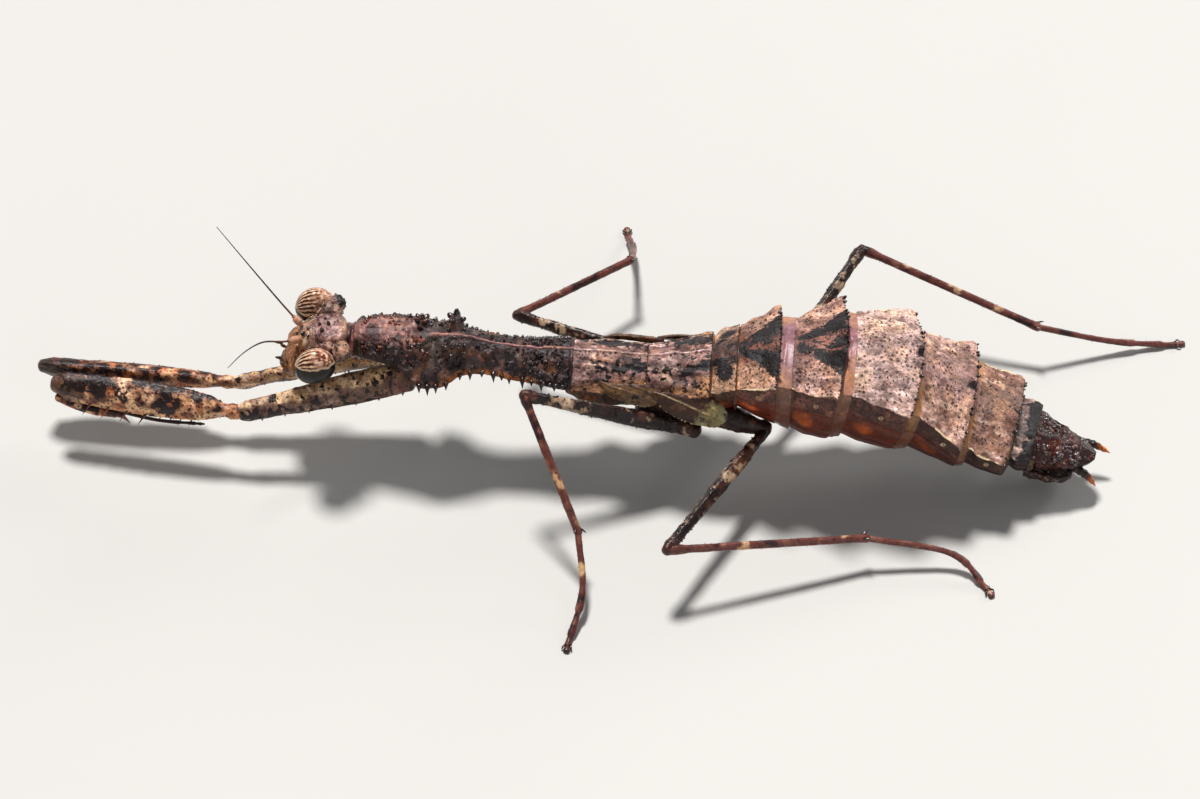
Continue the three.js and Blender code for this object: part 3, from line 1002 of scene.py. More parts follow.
@dataclass
class Abdomen:
    """Plates, side edges, soft rings, pitted side strips and belly, as one skin."""

    trunk: Trunk = Trunk(
        (
            (5.6, 8.8, 2.35, 1.1, 2.9, 0),
            (7.4, 9.5, 2.8, 0.9, 3.6, 0),
            (8.6, 9.85, 2.95, 0.8, 4.6, 0),
            (9.8, 10.2, 3.15, 0.8, 5.6, 0),
            (10.9, 10.25, 3.2, 0.9, 6.2, 1),
            (12.3, 10.45, 3.45, 1.0, 6.6, 3),
            (13.6, 10.65, 3.72, 1.0, 6.8, 5),
            (14.6, 10.6, 3.6, 1.05, 6.6, 7),
            (16.3, 10.3, 3.8, 1.15, 6.5, 10),
            (18.1, 9.7, 3.95, 1.2, 6.2, 12),
            (18.9, 9.05, 3.75, 1.1, 5.6, 11),
            (20.2, 8.0, 3.85, 1.15, 4.8, 9),
            (21.55, 7.0, 3.95, 1.15, 4.1, 8),
            (22.2, 6.55, 3.7, 1.1, 3.7, 7),
            (23.3, 5.95, 3.55, 1.15, 3.2, 5),
            (24.35, 5.4, 3.4, 1.15, 2.75, 4),
            (24.6, 5.1, 2.7, 0.95, 2.5, 4),
            (25.7, 4.6, 2.4, 0.85, 2.3, 4),
            (26.2, 4.3, 2.0, 0.75, 1.8, 4),
        )
    )
    plates: tuple[Plate, ...] = (
        Plate(5.75, 7.4, 0.0, 0.05, -0.12, "5c4842", "be9f8a", "6f5044", "7d5a46", 1.0),
        Plate(7.55, 9.85, 0.12, 0.14, 0.12, "7d5242", "c29e89", "a8858a", "8e6558", 1.0),
        Plate(10.85, 13.65, 0.3, 0.2, 0.16, "94695c", "c9a393", "a97d80", "8a5f53", 1.0),
        Plate(14.6, 18.15, 0.38, 0.16, 0.14, "bca29b", "d3b7ac", "b08a6a", "7f584e", 1.0),
        Plate(18.85, 21.6, 0.26, 0.14, 0.14, "aa8b82", "c4a495", "a87a5c", "6d4c44", 0.6),
        Plate(22.15, 24.4, 0.18, 0.12, 0.1, "8f7466", "a88776", "8a6658", "5f423a", 0.5),
        Plate(24.6, 25.75, 0.0, 0.06, 0.0, "7a6b66", "8f7f78", "2a1a18", "3a2622", 0.4),
    )
    row_gap: float = 0.062
    ring: Ring = Ring()
    seed: int = 5

    def stations(self) -> Masks:
        """List the rows of the skin.

        Returns:
            For each row its x, its progress along its plate, its height, whether it is on
            soft skin, its plate's number and how far round the rear edge it has turned.
        """
        rows = []
        for index, plate in enumerate(self.plates):
            count = int((plate.rear - plate.front) / self.row_gap)
            for t in np.linspace(0, 1, count):
                x = plate.front + t * (plate.rear - plate.front)
                rise = ease(t, 0.0, 0.5) * 0.13 + ease(t, 0.55, 1.0) * (plate.lip - 0.02)
                rows.append((x, t, rise - 0.11, 0.0, index, 0.0))
            edge = ((0.025, 0.85), (0.03, 0.4), (0.0, 0.0), (-0.05, -0.6), (-0.08, -1.0))
            for ahead, level in edge:
                height = level * (plate.lip if level > 0 else 0.14)
                rows.append((plate.rear + ahead, 1.0, height, float(level < 0), index, 1.0))
            last = index == len(self.plates) - 1
            until = 26.2 if last else self.plates[index + 1].front
            count = max(3, int((until - plate.rear) / (self.row_gap * 1.05)))
            for t in np.linspace(0, 1, count + 1)[1:-1]:
                x = plate.rear - 0.06 + t * (until - plate.rear + 0.06)
                ridge = 0.05 * bump(t, 0.42, 0.12) - 0.15 + 0.04 * t
                rows.append((x, t, ridge, 1.0, index, 1.0))
        table = np.array(rows).T
        return dict(zip(("x", "t", "rise", "soft", "plate", "turned"), table))

    def grid(self) -> tuple[Array, Masks]:
        """Work out the skin's points and masks.

        Returns:
            The points and the masks.
        """
        a, u = self.ring.columns()
        rows = {key: value[:, None] for key, value in self.stations().items()}
        x, t, soft = rows["x"], rows["t"], rows["soft"]
        index = rows["plate"].astype(int)
        bow, flare = np.array([(plate.bow, plate.flare) for plate in self.plates]).T[:, index]
        near = self.trunk.place(x, a, u)
        f = Field(near, x, a, u, t, index, soft)
        wide, dorsal, hard = f.wide, f.dorsal, 1 - soft
        level = rows["rise"] * np.where(dorsal > 0, 1.0, 0.55)
        back = bow * (1 - wide**2) * np.where(soft > 0, 1 - t, ease(t, 0.2, 1.0)) * dorsal
        corner = ease(t, 0.35, 1.0) * hard
        out = flare * corner - 0.2 * (1 - ease(t, 0.0, 0.4)) * hard - 0.34 * soft
        teeth = rough(near * [1, 0, 0] + [0, 0, 3] + np.sign(a)[..., None], 0.34, 41)
        out = out + hard * 0.11 * teeth * ease(wide, 0.8, 1) * ease(-u, 0.3, 0.0)
        level += corner * 1.4 * flare * ease(wide, 0.72, 1.0) * dorsal
        level += dorsal * hard * 0.09 * rough(near * [1, 1, 0.4], 1.3, 11) * ease(t, 0, 0.3)
        level += dorsal * hard * 0.1 * rough(near * [0.8, 1, 1], 0.55, 12)
        level += (1 - dorsal) * 0.04 * rough(near * [0.7, 1, 1], 0.6, 13)
        streaks = rough(near * STREAKED, 0.5, 14) * ease(wide, 0.35, 0.7) * hard * dorsal
        level += 0.08 * streaks * (index >= 3)
        level += self.hollows(f) * dorsal
        rise, side = self.walls(f)
        points = self.trunk.place(x, a, u, level + rise, out + side, back)
        return closed(points), self.paint(f)

    def hollows(self, f: Field) -> Array:
        """Height of the folded notches in the middle of the plates' rear edges.

        Args:
            f: The skin's field.

        Returns:
            Heights above the smooth form.
        """
        index, t, hard = f.plate, f.t, 1 - f.soft
        depth = np.array([0.0, 0.08, 0.42, 0.22, 0.18, 0.14, 0.05])[index]
        width = np.array([0.2, 0.2, 0.13, 0.06, 0.06, 0.06, 0.2])[index]
        crest = np.array([0.0, 0.14, 0.42, 0.18, 0.14, 0.12, 0.05])[index]
        reach = np.array([0.5, 0.4, 0.5, 0.75, 0.72, 0.72, 0.8])[index]
        behind = np.where(t < 1, 1 - ease(t, 0.0, 0.75), 1.0) * (1 - hard)
        share = ease(t, reach, 1.0) * hard
        lobes = bump(f.wide, width * 2.1, width * 1.1) * crest
        return lobes * share**1.5 - bump(f.a, 0, width) * depth * (share + behind)

    def walls(self, f: Field) -> tuple[Array, Array]:
        """Shape the side strips and the belly below the side edges.

        Args:
            f: The skin's field.

        Returns:
            Heights above the smooth form, and shifts outwards.
        """
        t, u, below, hard = f.t, f.u, 1 - f.dorsal, 1 - f.soft
        sink = (0.1 + 0.16 * ease(t, 0.1, 1.0)) * hard - 0.12 * (1 - hard)
        strip = bump(-u, 0.17, 0.12) * 0.1 * hard * np.sin(np.pi * np.clip(t, 0.03, 0.97))
        fold = bump(-u, 0.33, 0.03) * -0.1 + bump(-u, 0.41, 0.05) * 0.05
        pillow = ease(-u, 0.34, 0.5) * 0.05 * hard * np.sin(np.pi * np.clip(t, 0, 1)) ** 0.6
        crease = (1 - hard) * (0.22 * ease(-u, 0.2, 0.5) - 0.03)
        wave = np.sin(-u * 38 + 2.2 * rough(f.near * [0.5, 1, 1], 1.4, 42))
        ripples = ease(-u, 0.3, 0.45) * 0.035 * wave * hard
        rise = below * (strip + fold + pillow + crease + ripples)
        return rise, -sink * below * ease(-u, 0.0, 0.035)

    def tones(self, name: str, index: Array) -> Array:
        """The colour that each row's plate gives under a name."""
        return np.array([paint_of(getattr(plate, name)) for plate in self.plates])[index]

    def paint(self, f: Field) -> Masks:
        """Work out the skin's colours and masks.

        Args:
            f: The skin's field.

        Returns:
            The masks, with the colour as tint.
        """
        near, index, t, u, wide, dorsal, soft = f.near, f.plate, f.t, f.u, f.wide, f.dorsal, f.soft
        below, hard = 1 - dorsal, 1 - soft
        jitter = 0.09 * rough(near, 0.5, 21)
        middle, flank, ringed, strip = (
            self.tones(name, index) for name in ("middle", "flank", "ring", "strip")
        )
        tint = over(middle, flank, ease(wide + jitter * 2, 0.18, 0.62))
        hue = ease(wide + 0.45 * rough(near * [0.6, 1, 1], 1.1, 22), 0.3, 0.75)
        film = over(paint_of("8f6a72"), paint_of("bb9060"), hue)
        film = over(film, ringed, np.where(index == 0, 0.85, 0.45))
        cloud = rough(near * [1, 0.8, 1], 1.0, 27) + 0.5 * rough(near, 0.35, 28)
        cloud = ease(cloud + 0.15 * (index == 1), 0.0, 0.5)
        # The same noise raises the lengthwise ridges from the fourth plate on: painted highlight on
        # the raised streaks and painted shade in the furrows.
        streak_and_ridge_light = rough(near * STREAKED, 0.5, 14) * ease(wide, 0.2, 0.5) * (index >= 2)
        tint = over(tint, paint_of("6f4b40"), 0.6 * cloud)
        tint = over(tint, paint_of("e0c6b8"), 0.45 * ease(streak_and_ridge_light, 0.02, 0.4))
        tint = over(tint, paint_of("6d4d44"), 0.5 * ease(-streak_and_ridge_light, 0.05, 0.4))
        tint = over(tint, film, soft > 0.5)
        dark = ease(-u + jitter, 0.26, 0.36)
        wall = strip * (0.58 + 0.8 * ease(rough(near, 0.45, 29), -0.1, 0.5)[..., None])
        wall = over(wall, film * 0.6, soft > 0.5)
        # Orange over the red-brown belly: random patches of its own colour, plus a lobe on each
        # segment's bulge painted as a glow.
        lobe = bump(t, 0.32, 0.27) * bump(-u, 0.46, 0.11) * hard
        orange_and_bulge_glow = ease(rough(near * [0.7, 1, 1], 1.0, 23) * 0.5 + lobe, 0.25, 0.75)
        # The lowest part of the belly, 34180f, is painted darker: painted shade underneath.
        belly = tint_of((dorsal, "702f10"), (orange_and_bulge_glow, "b96226"), (ease(-u, 0.75, 1.0), "34180f"))
        belly = over(belly, paint_of("43241c"), ease(index + t * 0.8, 3.2, 5.4))
        belly = over(belly, belly * 0.55 + film * 0.22, soft > 0.5)
        tint = over(tint, over(wall, belly, dark), below > 0.5)
        density = np.array([p.pits for p in self.plates])[index]
        spread = np.where(index < 3, 0.85, 0.5) + 0.6 * (1 - ease(wide, 0.2, 0.75))
        pits = density * hard * spread * dorsal + below * hard * (1 - dark)
        edge = dorsal * ease(wide, 0.93, 0.985) * hard + below * hard * (1 - ease(-u, 0.0, 0.03))
        return skin_masks(
            tint,
            ink=self.ink(f),
            film=np.clip(soft * (0.68 - 0.2 * below) + below * dark * 0.5, 0, 1),
            rim=edge * ease(rough(near, 0.6, 24), -0.15, 0.3) * 0.75,
            pits=np.clip(pits, 0, 1),
        )

    def ink(self, f: Field) -> Array:
        """Where the back is black: chevrons, spots and painted shade in the rear edges' notches.

        Args:
            f: The skin's field.

        Returns:
            0 for no ink, up to 1.2.
        """
        near, index, t, wide, hard = f.near, f.plate, f.t, f.wide, 1 - f.soft
        cloud, fleck = rough(near, 0.75, 25), rough(near * [0.6, 1.3, 1.3], 0.32, 26)
        ragged = 0.92 + 0.75 * cloud + 0.7 * fleck
        uneven = wide + 0.05 * cloud
        inside = 0.3 + 0.6 * ease(fleck, 0.05, 0.4)
        spot = bump(uneven, 0.6, 0.17) * bump(t, 0.58, 0.3) * 1.5 * ragged
        front = (0.25 + 0.6 * ease(fleck + cloud, 0.0, 0.4)) * (uneven < 0.42)
        ink = (index == 0) * (spot + front)
        arm = 1.3 * bump(uneven, 0.06 + 0.52 * t, 0.1 + 0.15 * t) * ragged
        ink = ink + (index == 1) * (arm + inside * (uneven < 0.5 * t + 0.08))
        arm = 1.3 * bump(uneven, 0.1 + 0.38 * t, 0.07 + 0.11 * t) * ease(t, 0, 0.12) * ragged
        within = (inside - 0.2) * (uneven < 0.3 * t + 0.1)
        # Black in the deep notch at the middle of the third plate's rear edge: painted shade in the
        # hollow between its raised lobes.
        notch_shade = 0.75 * bump(wide, 0, 0.14) * ease(t, 0.6, 0.85)
        ink = ink + (index == 2) * (arm + within + notch_shade)
        # Black at the middles of the later plates' rear edges: painted shade in their notches.
        for number, reach in ((3, 0.86), (4, 0.66), (5, 0.62)):
            notch_shade = bump(uneven, 0, 0.05 + 0.03 * t) * ease(t, reach, 0.96)
            ink = ink + (index == number) * notch_shade * 0.9
        smear = ease(t + 0.3 * wide + 0.5 * cloud + 0.3 * fleck, 0.42, 0.75)
        ink = ink + (index == 6) * (smear + 0.6 * bump(t, 0, 0.1))
        specks = ease(fleck, 0.35, 0.6) * (index > 2) * 0.45 * ease(0.5 - wide, 0, 0.3)
        edge = (index < 6) * ease(t, 0.97, 1.0) * 0.33
        # Black on the soft skin behind the third plate's notch: painted shade in the hollow.
        hollow_shade = bump(wide, 0, 0.12) * (index == 2) * np.where(t < 1, 1 - ease(t, 0.1, 0.6), 1.0)
        return np.clip((ink + edge + specks) * hard + hollow_shade * f.soft, 0, 1.2) * f.dorsal

    def beads(self, points: Array) -> list[Spot]:
        """Black beads along the rear edges, and a few strewn over the plates.

        Args:
            points: The skin's places.

        Returns:
            Where the beads stand.
        """
        rng = np.random.default_rng(self.seed)
        rows = self.stations()
        spots = []
        for index in range(1, 6):
            on_plate = np.flatnonzero((rows["plate"] == index) & (rows["soft"] == 0))
            rear = on_plate[-4]
            half = float(self.trunk.sizes(np.array(self.plates[index].rear))[1])
            for place in np.linspace(-0.98, 0.98, int(2 * half / 0.34)):
                across = place + rng.uniform(-0.035, 0.035)
                size = 0.08 + 0.13 * rng.uniform() ** 1.5
                if index >= 3 and 0.38 < abs(across) < 0.46:
                    size = 0.26
                if rng.uniform() < 0.22:
                    continue
                high = size * rng.uniform(0.7, 1.3)
                spots.append(self.on_skin(points, rear, across, size, high, 0.5))
            for _ in range(50):
                row = int(rng.uniform(on_plate[0] + 4, on_plate[-5]))
                size = rng.uniform(0.06, 0.12)
                spots.append(self.on_skin(points, row, rng.uniform(-0.95, 0.95), size, size * 0.7))
        return spots

    def on_skin(
        self, points: Array, row: int, across: float, width: float, height: float, tip: float = 0.0
    ) -> Spot:
        """A spot on the back of the finished skin, tipped back by tip.

        Args:
            points: The skin's points.
            row: Number of the row.
            across: Place across the body.
            width: Width of what stands there.
            height: Its height.
            tip: How far it leans toward the tail.

        Returns:
            The spot.
        """
        columns = self.ring.columns()[0][0, : self.ring.dorsal]
        column = int(np.argmin(np.abs(columns - across)))
        column = min(max(column, 1), self.ring.dorsal - 2)
        along = points[row + 1, column] - points[row - 1, column]
        cross = points[row, column + 1] - points[row, column - 1]
        way = unit(np.cross(along, cross)) + np.array([tip, 0.0, 0.0])
        return Spot(points[row, column], way, width, height)

    def airholes(self) -> list[Spot]:
        """Pale breathing rings, one in each side strip.

        Returns:
            The spots.
        """
        spots = []
        for plate in self.plates[1:6]:
            x = plate.front + 0.56 * (plate.rear - plate.front)
            for side in SIDES:
                angle = math.radians(99)
                spot = self.trunk.spot(x, side * math.sin(angle), math.cos(angle), 0.34, 0.1)
                inward = np.asarray(spot.place) - unit(np.asarray(spot.way)) * 0.07
                spots.append(Spot(inward, spot.way, spot.width, spot.height))
        return spots

    def build(self, kit: Finishes) -> None:
        """Make the abdomen's pieces.

        Args:
            kit: The finishes.
        """
        points, masks = self.grid()
        solids = [f"abdomen_{i}" for i in range(1, 8)]
        dress(woven("abdomen_skin", points, masks), kit.shell, "bark", *solids)
        dress(studded("abdomen_beads", Form.BEAD, self.beads(points)), kit.bead, "soot")
        holes = studded("breathing_rings", Form.RING, self.airholes(), sides=14)
        dress(holes, kit.pale, "peach")


@dataclass
class Thorax:
    """The middle and hind thorax: two back plates with a pale keel, as one skin."""

    trunk: Trunk = Trunk(
        (
            (-3.2, 8.2, 1.85, 1.3, 1.1, 0),
            (-2.5, 8.42, 1.95, 1.4, 1.3, 0),
            (-0.9, 8.42, 2.0, 1.45, 2.0, 0),
            (2.0, 8.3, 2.15, 1.5, 2.3, 0),
            (4.0, 8.6, 2.35, 1.4, 2.6, 0),
            (5.9, 8.95, 2.55, 1.2, 3.0, 0),
            (6.3, 8.8, 2.3, 1.2, 2.8, 0),
        ),
        roof=1.9,
    )
    plates: tuple[tuple[float, float], ...] = ((-2.9, 2.0), (2.1, 5.85))
    row_gap: float = 0.06
    ring: Ring = Ring(dorsal=140, ventral=60)
    slant: Array = field(
        default_factory=lambda: np.array([[0.75, -0.4, 0], [0.7, 1.1, 0], [0, 0, 1.2]])
    )

    def stations(self) -> Array:
        """List the rows: x, progress along the plate, height, soft skin or not, plate.

        Returns:
            One row for each measure.
        """
        rows = []
        for index, (front, rear) in enumerate(self.plates):
            for t in np.linspace(0, 1, int((rear - front) / self.row_gap)):
                rise = 0.02 * ease(t, 0.8, 1.0) + 0.04 * ease(t, 0.0, 0.06)
                rows.append((front + t * (rear - front), t, rise, 0.0, index))
            for ahead, height in ((0.02, 0.03), (0.03, 0.0), (0.02, -0.05)):
                rows.append((rear + ahead, 1.0, height, 1.0, index))
        rows += [(x, 1.0, -0.12, 1.0, 1) for x in (5.95, 6.1, 6.25)]
        return np.array(rows).T

    def build(self, kit: Finishes) -> None:
        """Make the thorax's pieces.

        Args:
            kit: The finishes.
        """
        a, u = self.ring.columns()
        x, t, rise, soft, plate = (row[:, None] for row in self.stations())
        near = self.trunk.place(x, a, u)
        f = Field(near, x, a, u, t, plate, soft)
        wide, dorsal, hard = f.wide, f.dorsal, 1 - soft
        keel = 0.1 * bump(a, 0, 0.035) * hard
        folds = 0.1 * bump(wide, 0.36 + 0.22 * t, 0.06) - 0.1 * bump(wide, 0.27 + 0.2 * t, 0.06)
        side_rib = 0.09 * bump(wide, 0.78, 0.06) * (1 - ease(t, 0.5, 0.9))
        level = rise + dorsal * (keel + (folds + side_rib) * np.sin(np.pi * np.clip(t, 0, 1)))
        level += dorsal * 0.11 * rough(near @ self.slant, 0.75, 31) * hard
        level += 0.05 * rough(near, 0.3, 32) * hard
        level -= (1 - dorsal) * ease(-u, 0.0, 0.1) * 0.1
        lobes = 0.62 * bump(x, -1.1, 1.3) + 0.3 * bump(x, 3.4, 1.3)
        level += (1 - dorsal) * lobes * (1 + 0.35 * rough(near, 0.8, 39)) * bump(-u, 0.45, 0.3)
        points = closed(self.trunk.place(x, a, u, level))
        skin = woven("thorax_skin", points, self.paint(f))
        dress(skin, kit.shell, "soot", "mesothorax", "metathorax")
        dress(studded("thorax_beads", Form.BEAD, self.beads()), kit.bead, "soot")

    def paint(self, f: Field) -> Masks:
        """Work out the skin's colours and masks.

        Args:
            f: The skin's field.

        Returns:
            The masks, with the colour as tint.
        """
        near, t, a, u, wide, dorsal, soft = f.near, f.t, f.a, f.u, f.wide, f.dorsal, f.soft
        hind = f.plate > 0.5
        jitter = 0.12 * rough(near, 0.5, 33)
        slanted = near @ self.slant
        crease = rough(slanted, 0.75, 31)
        streak_and_ridge_light = ease(rough(slanted, 0.6, 34) + 0.5 * crease, 0.05, 0.35)
        flank = ease(wide + jitter + 0.35 * t, 0.85, 1.15) * dorsal
        below, hard = 1 - dorsal, 1 - soft
        ridge = dorsal * bump(a, 0, 0.022)
        # Pale along the raised fold and dark in the sunk fold beside it: painted highlight and
        # shade of the folds.
        fold_highlight = bump(wide + 0.04 * crease, 0.4 + 0.22 * t, 0.035)
        fold_shade = bump(wide + 0.04 * crease, 0.29 + 0.2 * t, 0.04)
        tint = tint_of(
            (dorsal, "9b7b73"),
            (ease(rough(near, 0.6, 35), 0.0, 0.4) * 0.65, "5c403a"),
            # pale streaks of its own colour, also paler where the creases rise: partly painted
            # highlight on the raised relief
            (streak_and_ridge_light * 0.75, "d3b8ae"),
            # darker where the relief's creases sink, crease being the relief's own noise: painted
            # shade in the creases
            (ease(-crease, 0.1, 0.4) * 0.75, "4b332f"),
            (fold_highlight * ease(crease, -0.3, 0.1) * 0.7, "cdb0a4"),
            (fold_shade * ease(crease, -0.2, 0.2) * 0.8, "3f2a27"),
            (flank, "bf936c"),
            (flank * ease(rough(near, 0.4, 36), 0.1, 0.4), "6a4534"),
            (ridge, "dcc0bb"),
            (soft * 0.8, "4c342e"),
            (below, "5a4030"),
            (below * ease(rough(near, 0.5, 40), 0.0, 0.3), "33241d"),
            (below * ease(rough(near, 0.35, 41), 0.2, 0.4), "9a6234"),
            # the lowest part of the underside painted darker: painted shade underneath
            (below * ease(-u + jitter, 0.6, 0.8), "2c201b"),
        )
        cloud, fleck = rough(near, 0.8, 37), rough(slanted, 0.3, 38)
        slant = bump(wide + 0.07 * cloud, 0.72 - 0.42 * t, 0.15) * ease(t, 0.25, 0.45) * (1 - hind)
        slant_hind = bump(wide + 0.07 * cloud, 0.64 - 0.3 * t, 0.17) * ease(t, 0.3, 0.5) * hind
        ink = (slant + slant_hind) * (0.85 + 0.8 * cloud + 0.5 * fleck)
        ink += bump(wide, 0.45, 0.12) * bump(t, 0.3, 0.14) * (0.5 + cloud)
        dashes = ease(np.sin(f.x * 17), -0.2, 0.5) * ease(a, 0.0, -0.01)
        ink += 0.75 * bump(a, -0.075, 0.035) * dashes * ease(t, 0.2, 0.35)
        ink += 0.8 * ease(fleck, 0.16, 0.42) * (1 - ridge)
        ink += 0.4 * ease(t, 0.985, 1.0) * ease(0.85 - wide, 0, 0.3)
        ink += 0.5 * ease(-a, -0.1, -0.2) * ease(a - 0.35 - 0.2 * cloud, 0, 0.2) * dorsal
        worn = ease(rough(near, 0.6, 43), 0.0, 0.3)
        return skin_masks(
            tint,
            ink=ink * dorsal * hard * (0.55 + 0.6 * ease(rough(near, 0.22, 42), -0.3, 0.2)),
            film=soft * 0.6,
            rim=0.45 * ease(t, 0.97, 1.0) * worn * dorsal * hard,
            pits=(0.45 + 0.5 * flank + 0.3 * below) * hard,
        )

    def beads(self) -> list[Spot]:
        """Small dark beads strewn over the plates and their rear edges.

        Returns:
            The spots.
        """
        rng = np.random.default_rng(8)
        spots = []
        for _ in range(120):
            x, across = rng.uniform(-2.3, 5.8), rng.uniform(-0.95, 0.95)
            size = rng.uniform(0.05, 0.12)
            spots.append(self.trunk.spot(x, across, 0.5, size, size * 0.8))
        for _, rear in self.plates:
            for across in np.linspace(-0.92, 0.92, 13):
                spots.append(self.trunk.spot(rear - 0.03, across, 0.5, 0.11, 0.12))
        return spots


@dataclass
class Shield:
    """The long shield behind the head: knobs, keel, studded back and thorny side edges."""

    trunk: Trunk = Trunk(
        (
            (-15.8, 9.25, 1.3, 0.8, 1.1, 0),
            (-15.4, 9.45, 1.5, 0.85, 1.2, 0),
            (-14.2, 9.6, 1.75, 1.0, 1.35, 0),
            (-12.8, 9.5, 2.1, 1.2, 1.35, 0),
            (-11.4, 9.15, 2.78, 1.85, 0.9, 0),
            (-10.3, 9.15, 2.6, 1.85, 0.8, 0),
            (-9.0, 9.1, 1.88, 1.4, 0.7, 0),
            (-7.4, 8.72, 1.62, 1.2, 0.7, 0),
            (-5.3, 8.45, 1.72, 1.25, 0.8, 0),
            (-3.6, 8.42, 1.98, 1.3, 1.05, 0),
            (-2.5, 8.5, 2.1, 1.38, 1.2, 0),
        ),
        roof=1.75,
    )
    knobs: tuple[tuple[float, float, float, float], ...] = (
        (-11.75, 0.33, 0.42, 0.42),
        (-9.65, 0.36, 0.5, 0.9),
    )
    thorns: tuple[tuple[float, float], ...] = (
        (-11.6, 0.5), (-11.1, 0.62), (-10.6, 0.5), (-10.0, 0.45), (-9.2, 0.36),
        (-8.6, 0.52), (-7.9, 0.3), (-7.2, 0.56), (-6.7, 0.3), (-6.25, 0.45),
        (-5.45, 0.6), (-4.9, 0.3), (-4.3, 0.56), (-3.5, 0.34),
    )
    rows: int = 250
    ring: Ring = Ring(dorsal=150, ventral=56)

    def lift(self, x: Array, a: Array) -> Array:
        """Height of the back's relief above its smooth form.

        Args:
            x: Places along the body.
            a: Places across it, from -1 to 1.

        Returns:
            Heights above the smooth form.
        """
        half = self.trunk.sizes(x)[1]
        total = 0.09 * bump(a * half, 0, 0.09) * ease(x, -11.3, -10.6)
        for place, out, radius, height in self.knobs:
            for side in SIDES:
                far = np.hypot(x - place, (a - side * out) * half)
                total = total + height * np.exp(-((far / radius) ** 3))
        wide = np.abs(a)
        groove = bump(x, -10.95, 0.28) * (0.22 - 0.1 * wide)
        collar = 0.08 * bump(x, -15.35, 0.13) - 0.07 * bump(x, -15.08, 0.12)
        swell = bump(x, -3.3, 0.75) * bump(wide, 0.32, 0.22) * 0.16
        lip = 0.12 * ease(x, -2.75, -2.55) * bump(wide, 0.4, 0.4)
        return total - groove * ease(wide, 0.03, 0.14) + collar + swell + lip

    def surface(self, x: float, a: float) -> Array:
        """A point of the back, with its relief."""
        where, across = np.array(float(x)), np.array(float(a))
        return self.trunk.place(where, across, np.array(0.5), self.lift(where, across))

    def bead(self, x: float, a: float, width: float, flat: float) -> Spot:
        """A spot that stands square on the relief, flat times as high as wide.

        Args:
            x: Place along the body.
            a: Place across it, from -1 to 1.
            width: The bead's width.
            flat: Its height as a share of its width.

        Returns:
            The spot.
        """
        along = self.surface(x + 0.04, a) - self.surface(x - 0.04, a)
        cross = self.surface(x, a + 0.02) - self.surface(x, a - 0.02)
        return Spot(self.surface(x, a), np.cross(along, cross), width, width * flat)

    def build(self, kit: Finishes) -> None:
        """Make the shield's pieces.

        Args:
            kit: The finishes.
        """
        a, u = self.ring.columns()
        x = np.linspace(-15.75, -2.5, self.rows)
        x = np.concatenate([x, [-2.47, -2.49, -2.56, -2.7]])[:, None]
        sunk = np.concatenate([np.zeros(self.rows), [-0.02, -0.12, -0.22, -0.3]])[:, None]
        near = self.trunk.place(x, a, u)
        f = Field(near, x, a, u)
        lumps = 0.1 * rough(near, 0.9, 51) + 0.2 * np.maximum(rough(near, 0.42, 52), 0)
        level = f.dorsal * (self.lift(x, a) + lumps) + sunk
        saw = 0.06 * rough(near * [1, 0, 0], 0.3, 53) * ease(f.wide, 0.85, 1.0)
        out = saw - (1 - f.dorsal) * ease(-u, 0.0, 0.1) * 0.16
        points = closed(self.trunk.place(x, a, u, level, out))
        dress(woven("shield_skin", points, self.paint(f)), kit.shell, "soot", "prothorax")
        dress(studded("shield_beads", Form.BEAD, self.black_beads()), kit.bead, "soot")
        dress(studded("shield_red_beads", Form.BEAD, self.red_beads()), kit.amber, "soot")
        dress(studded("shield_thorns", Form.THORN, self.edge_thorns()), kit.bead, "soot")

    def paint(self, f: Field) -> Masks:
        """Work out the skin's colours and masks.

        Args:
            f: The skin's field.

        Returns:
            The masks, with the colour as tint.
        """
        near, x, a, u, wide, dorsal, below = f.near, f.x, f.a, f.u, f.wide, f.dorsal, 1 - f.dorsal
        jitter = 0.14 * rough(near, 0.6, 54)
        front = 1 - ease(x + jitter * 3, -12.3, -11.5)
        top = 1 - ease(wide + jitter, 0.42, 0.68)
        patch = ease(rough(near, 1.3, 55), 0.12, 0.4) * (1 - front) * ease(wide, 0.25, 0.6)
        margin = ease(wide + jitter * 0.5, 0.82, 0.95) * ease(x, -10.6, -9.8)
        margin = margin * (1 - ease(x, -5.2, -3.9)) * dorsal
        grey = bump(x, -10.95, 0.4) * (1 - ease(wide, 0.55, 0.9))
        line = bump(a, 0, 0.035) * ease(x, -11.4, -10.9) * (0.85 + jitter)
        belt = bump(-u, 0.1, 0.12) * ease(x, -10.2, -9.6) * (1 - ease(x, -5, -4))
        tint = tint_of(
            (dorsal, "3b2e2e"),
            (ease(rough(near, 0.4, 57), 0.0, 0.4), "6f554e"),
            (patch * 0.85, "80583c"),
            (front * top, "916c64"),
            # pale where the relief's lumps rise, from the same noise: painted highlight on the
            # front's bumps
            (front * top * ease(rough(near, 0.42, 52), 0.05, 0.4), "b8958c"),
            (front * top * ease(-rough(near, 0.6, 59), 0.0, 0.3) * 0.9, "452d29"),
            (front * (1 - top), "35251f"),
            (grey * 0.7, "5f5755"),
            (margin, "96602f"),
            (below, "2e221f"),
            (below * belt, "8a5426"),
            (line * dorsal, "b48680"),
        )
        ink = 0.55 * ease(rough(near, 0.7, 56), 0.0, 0.4) * (1 - 0.5 * front * top) * (1 - line)
        ink = ink * dorsal * (1 - margin * 0.6)
        return skin_masks(tint, ink=ink, film=0.25, pits=0.25 + 0.4 * margin)

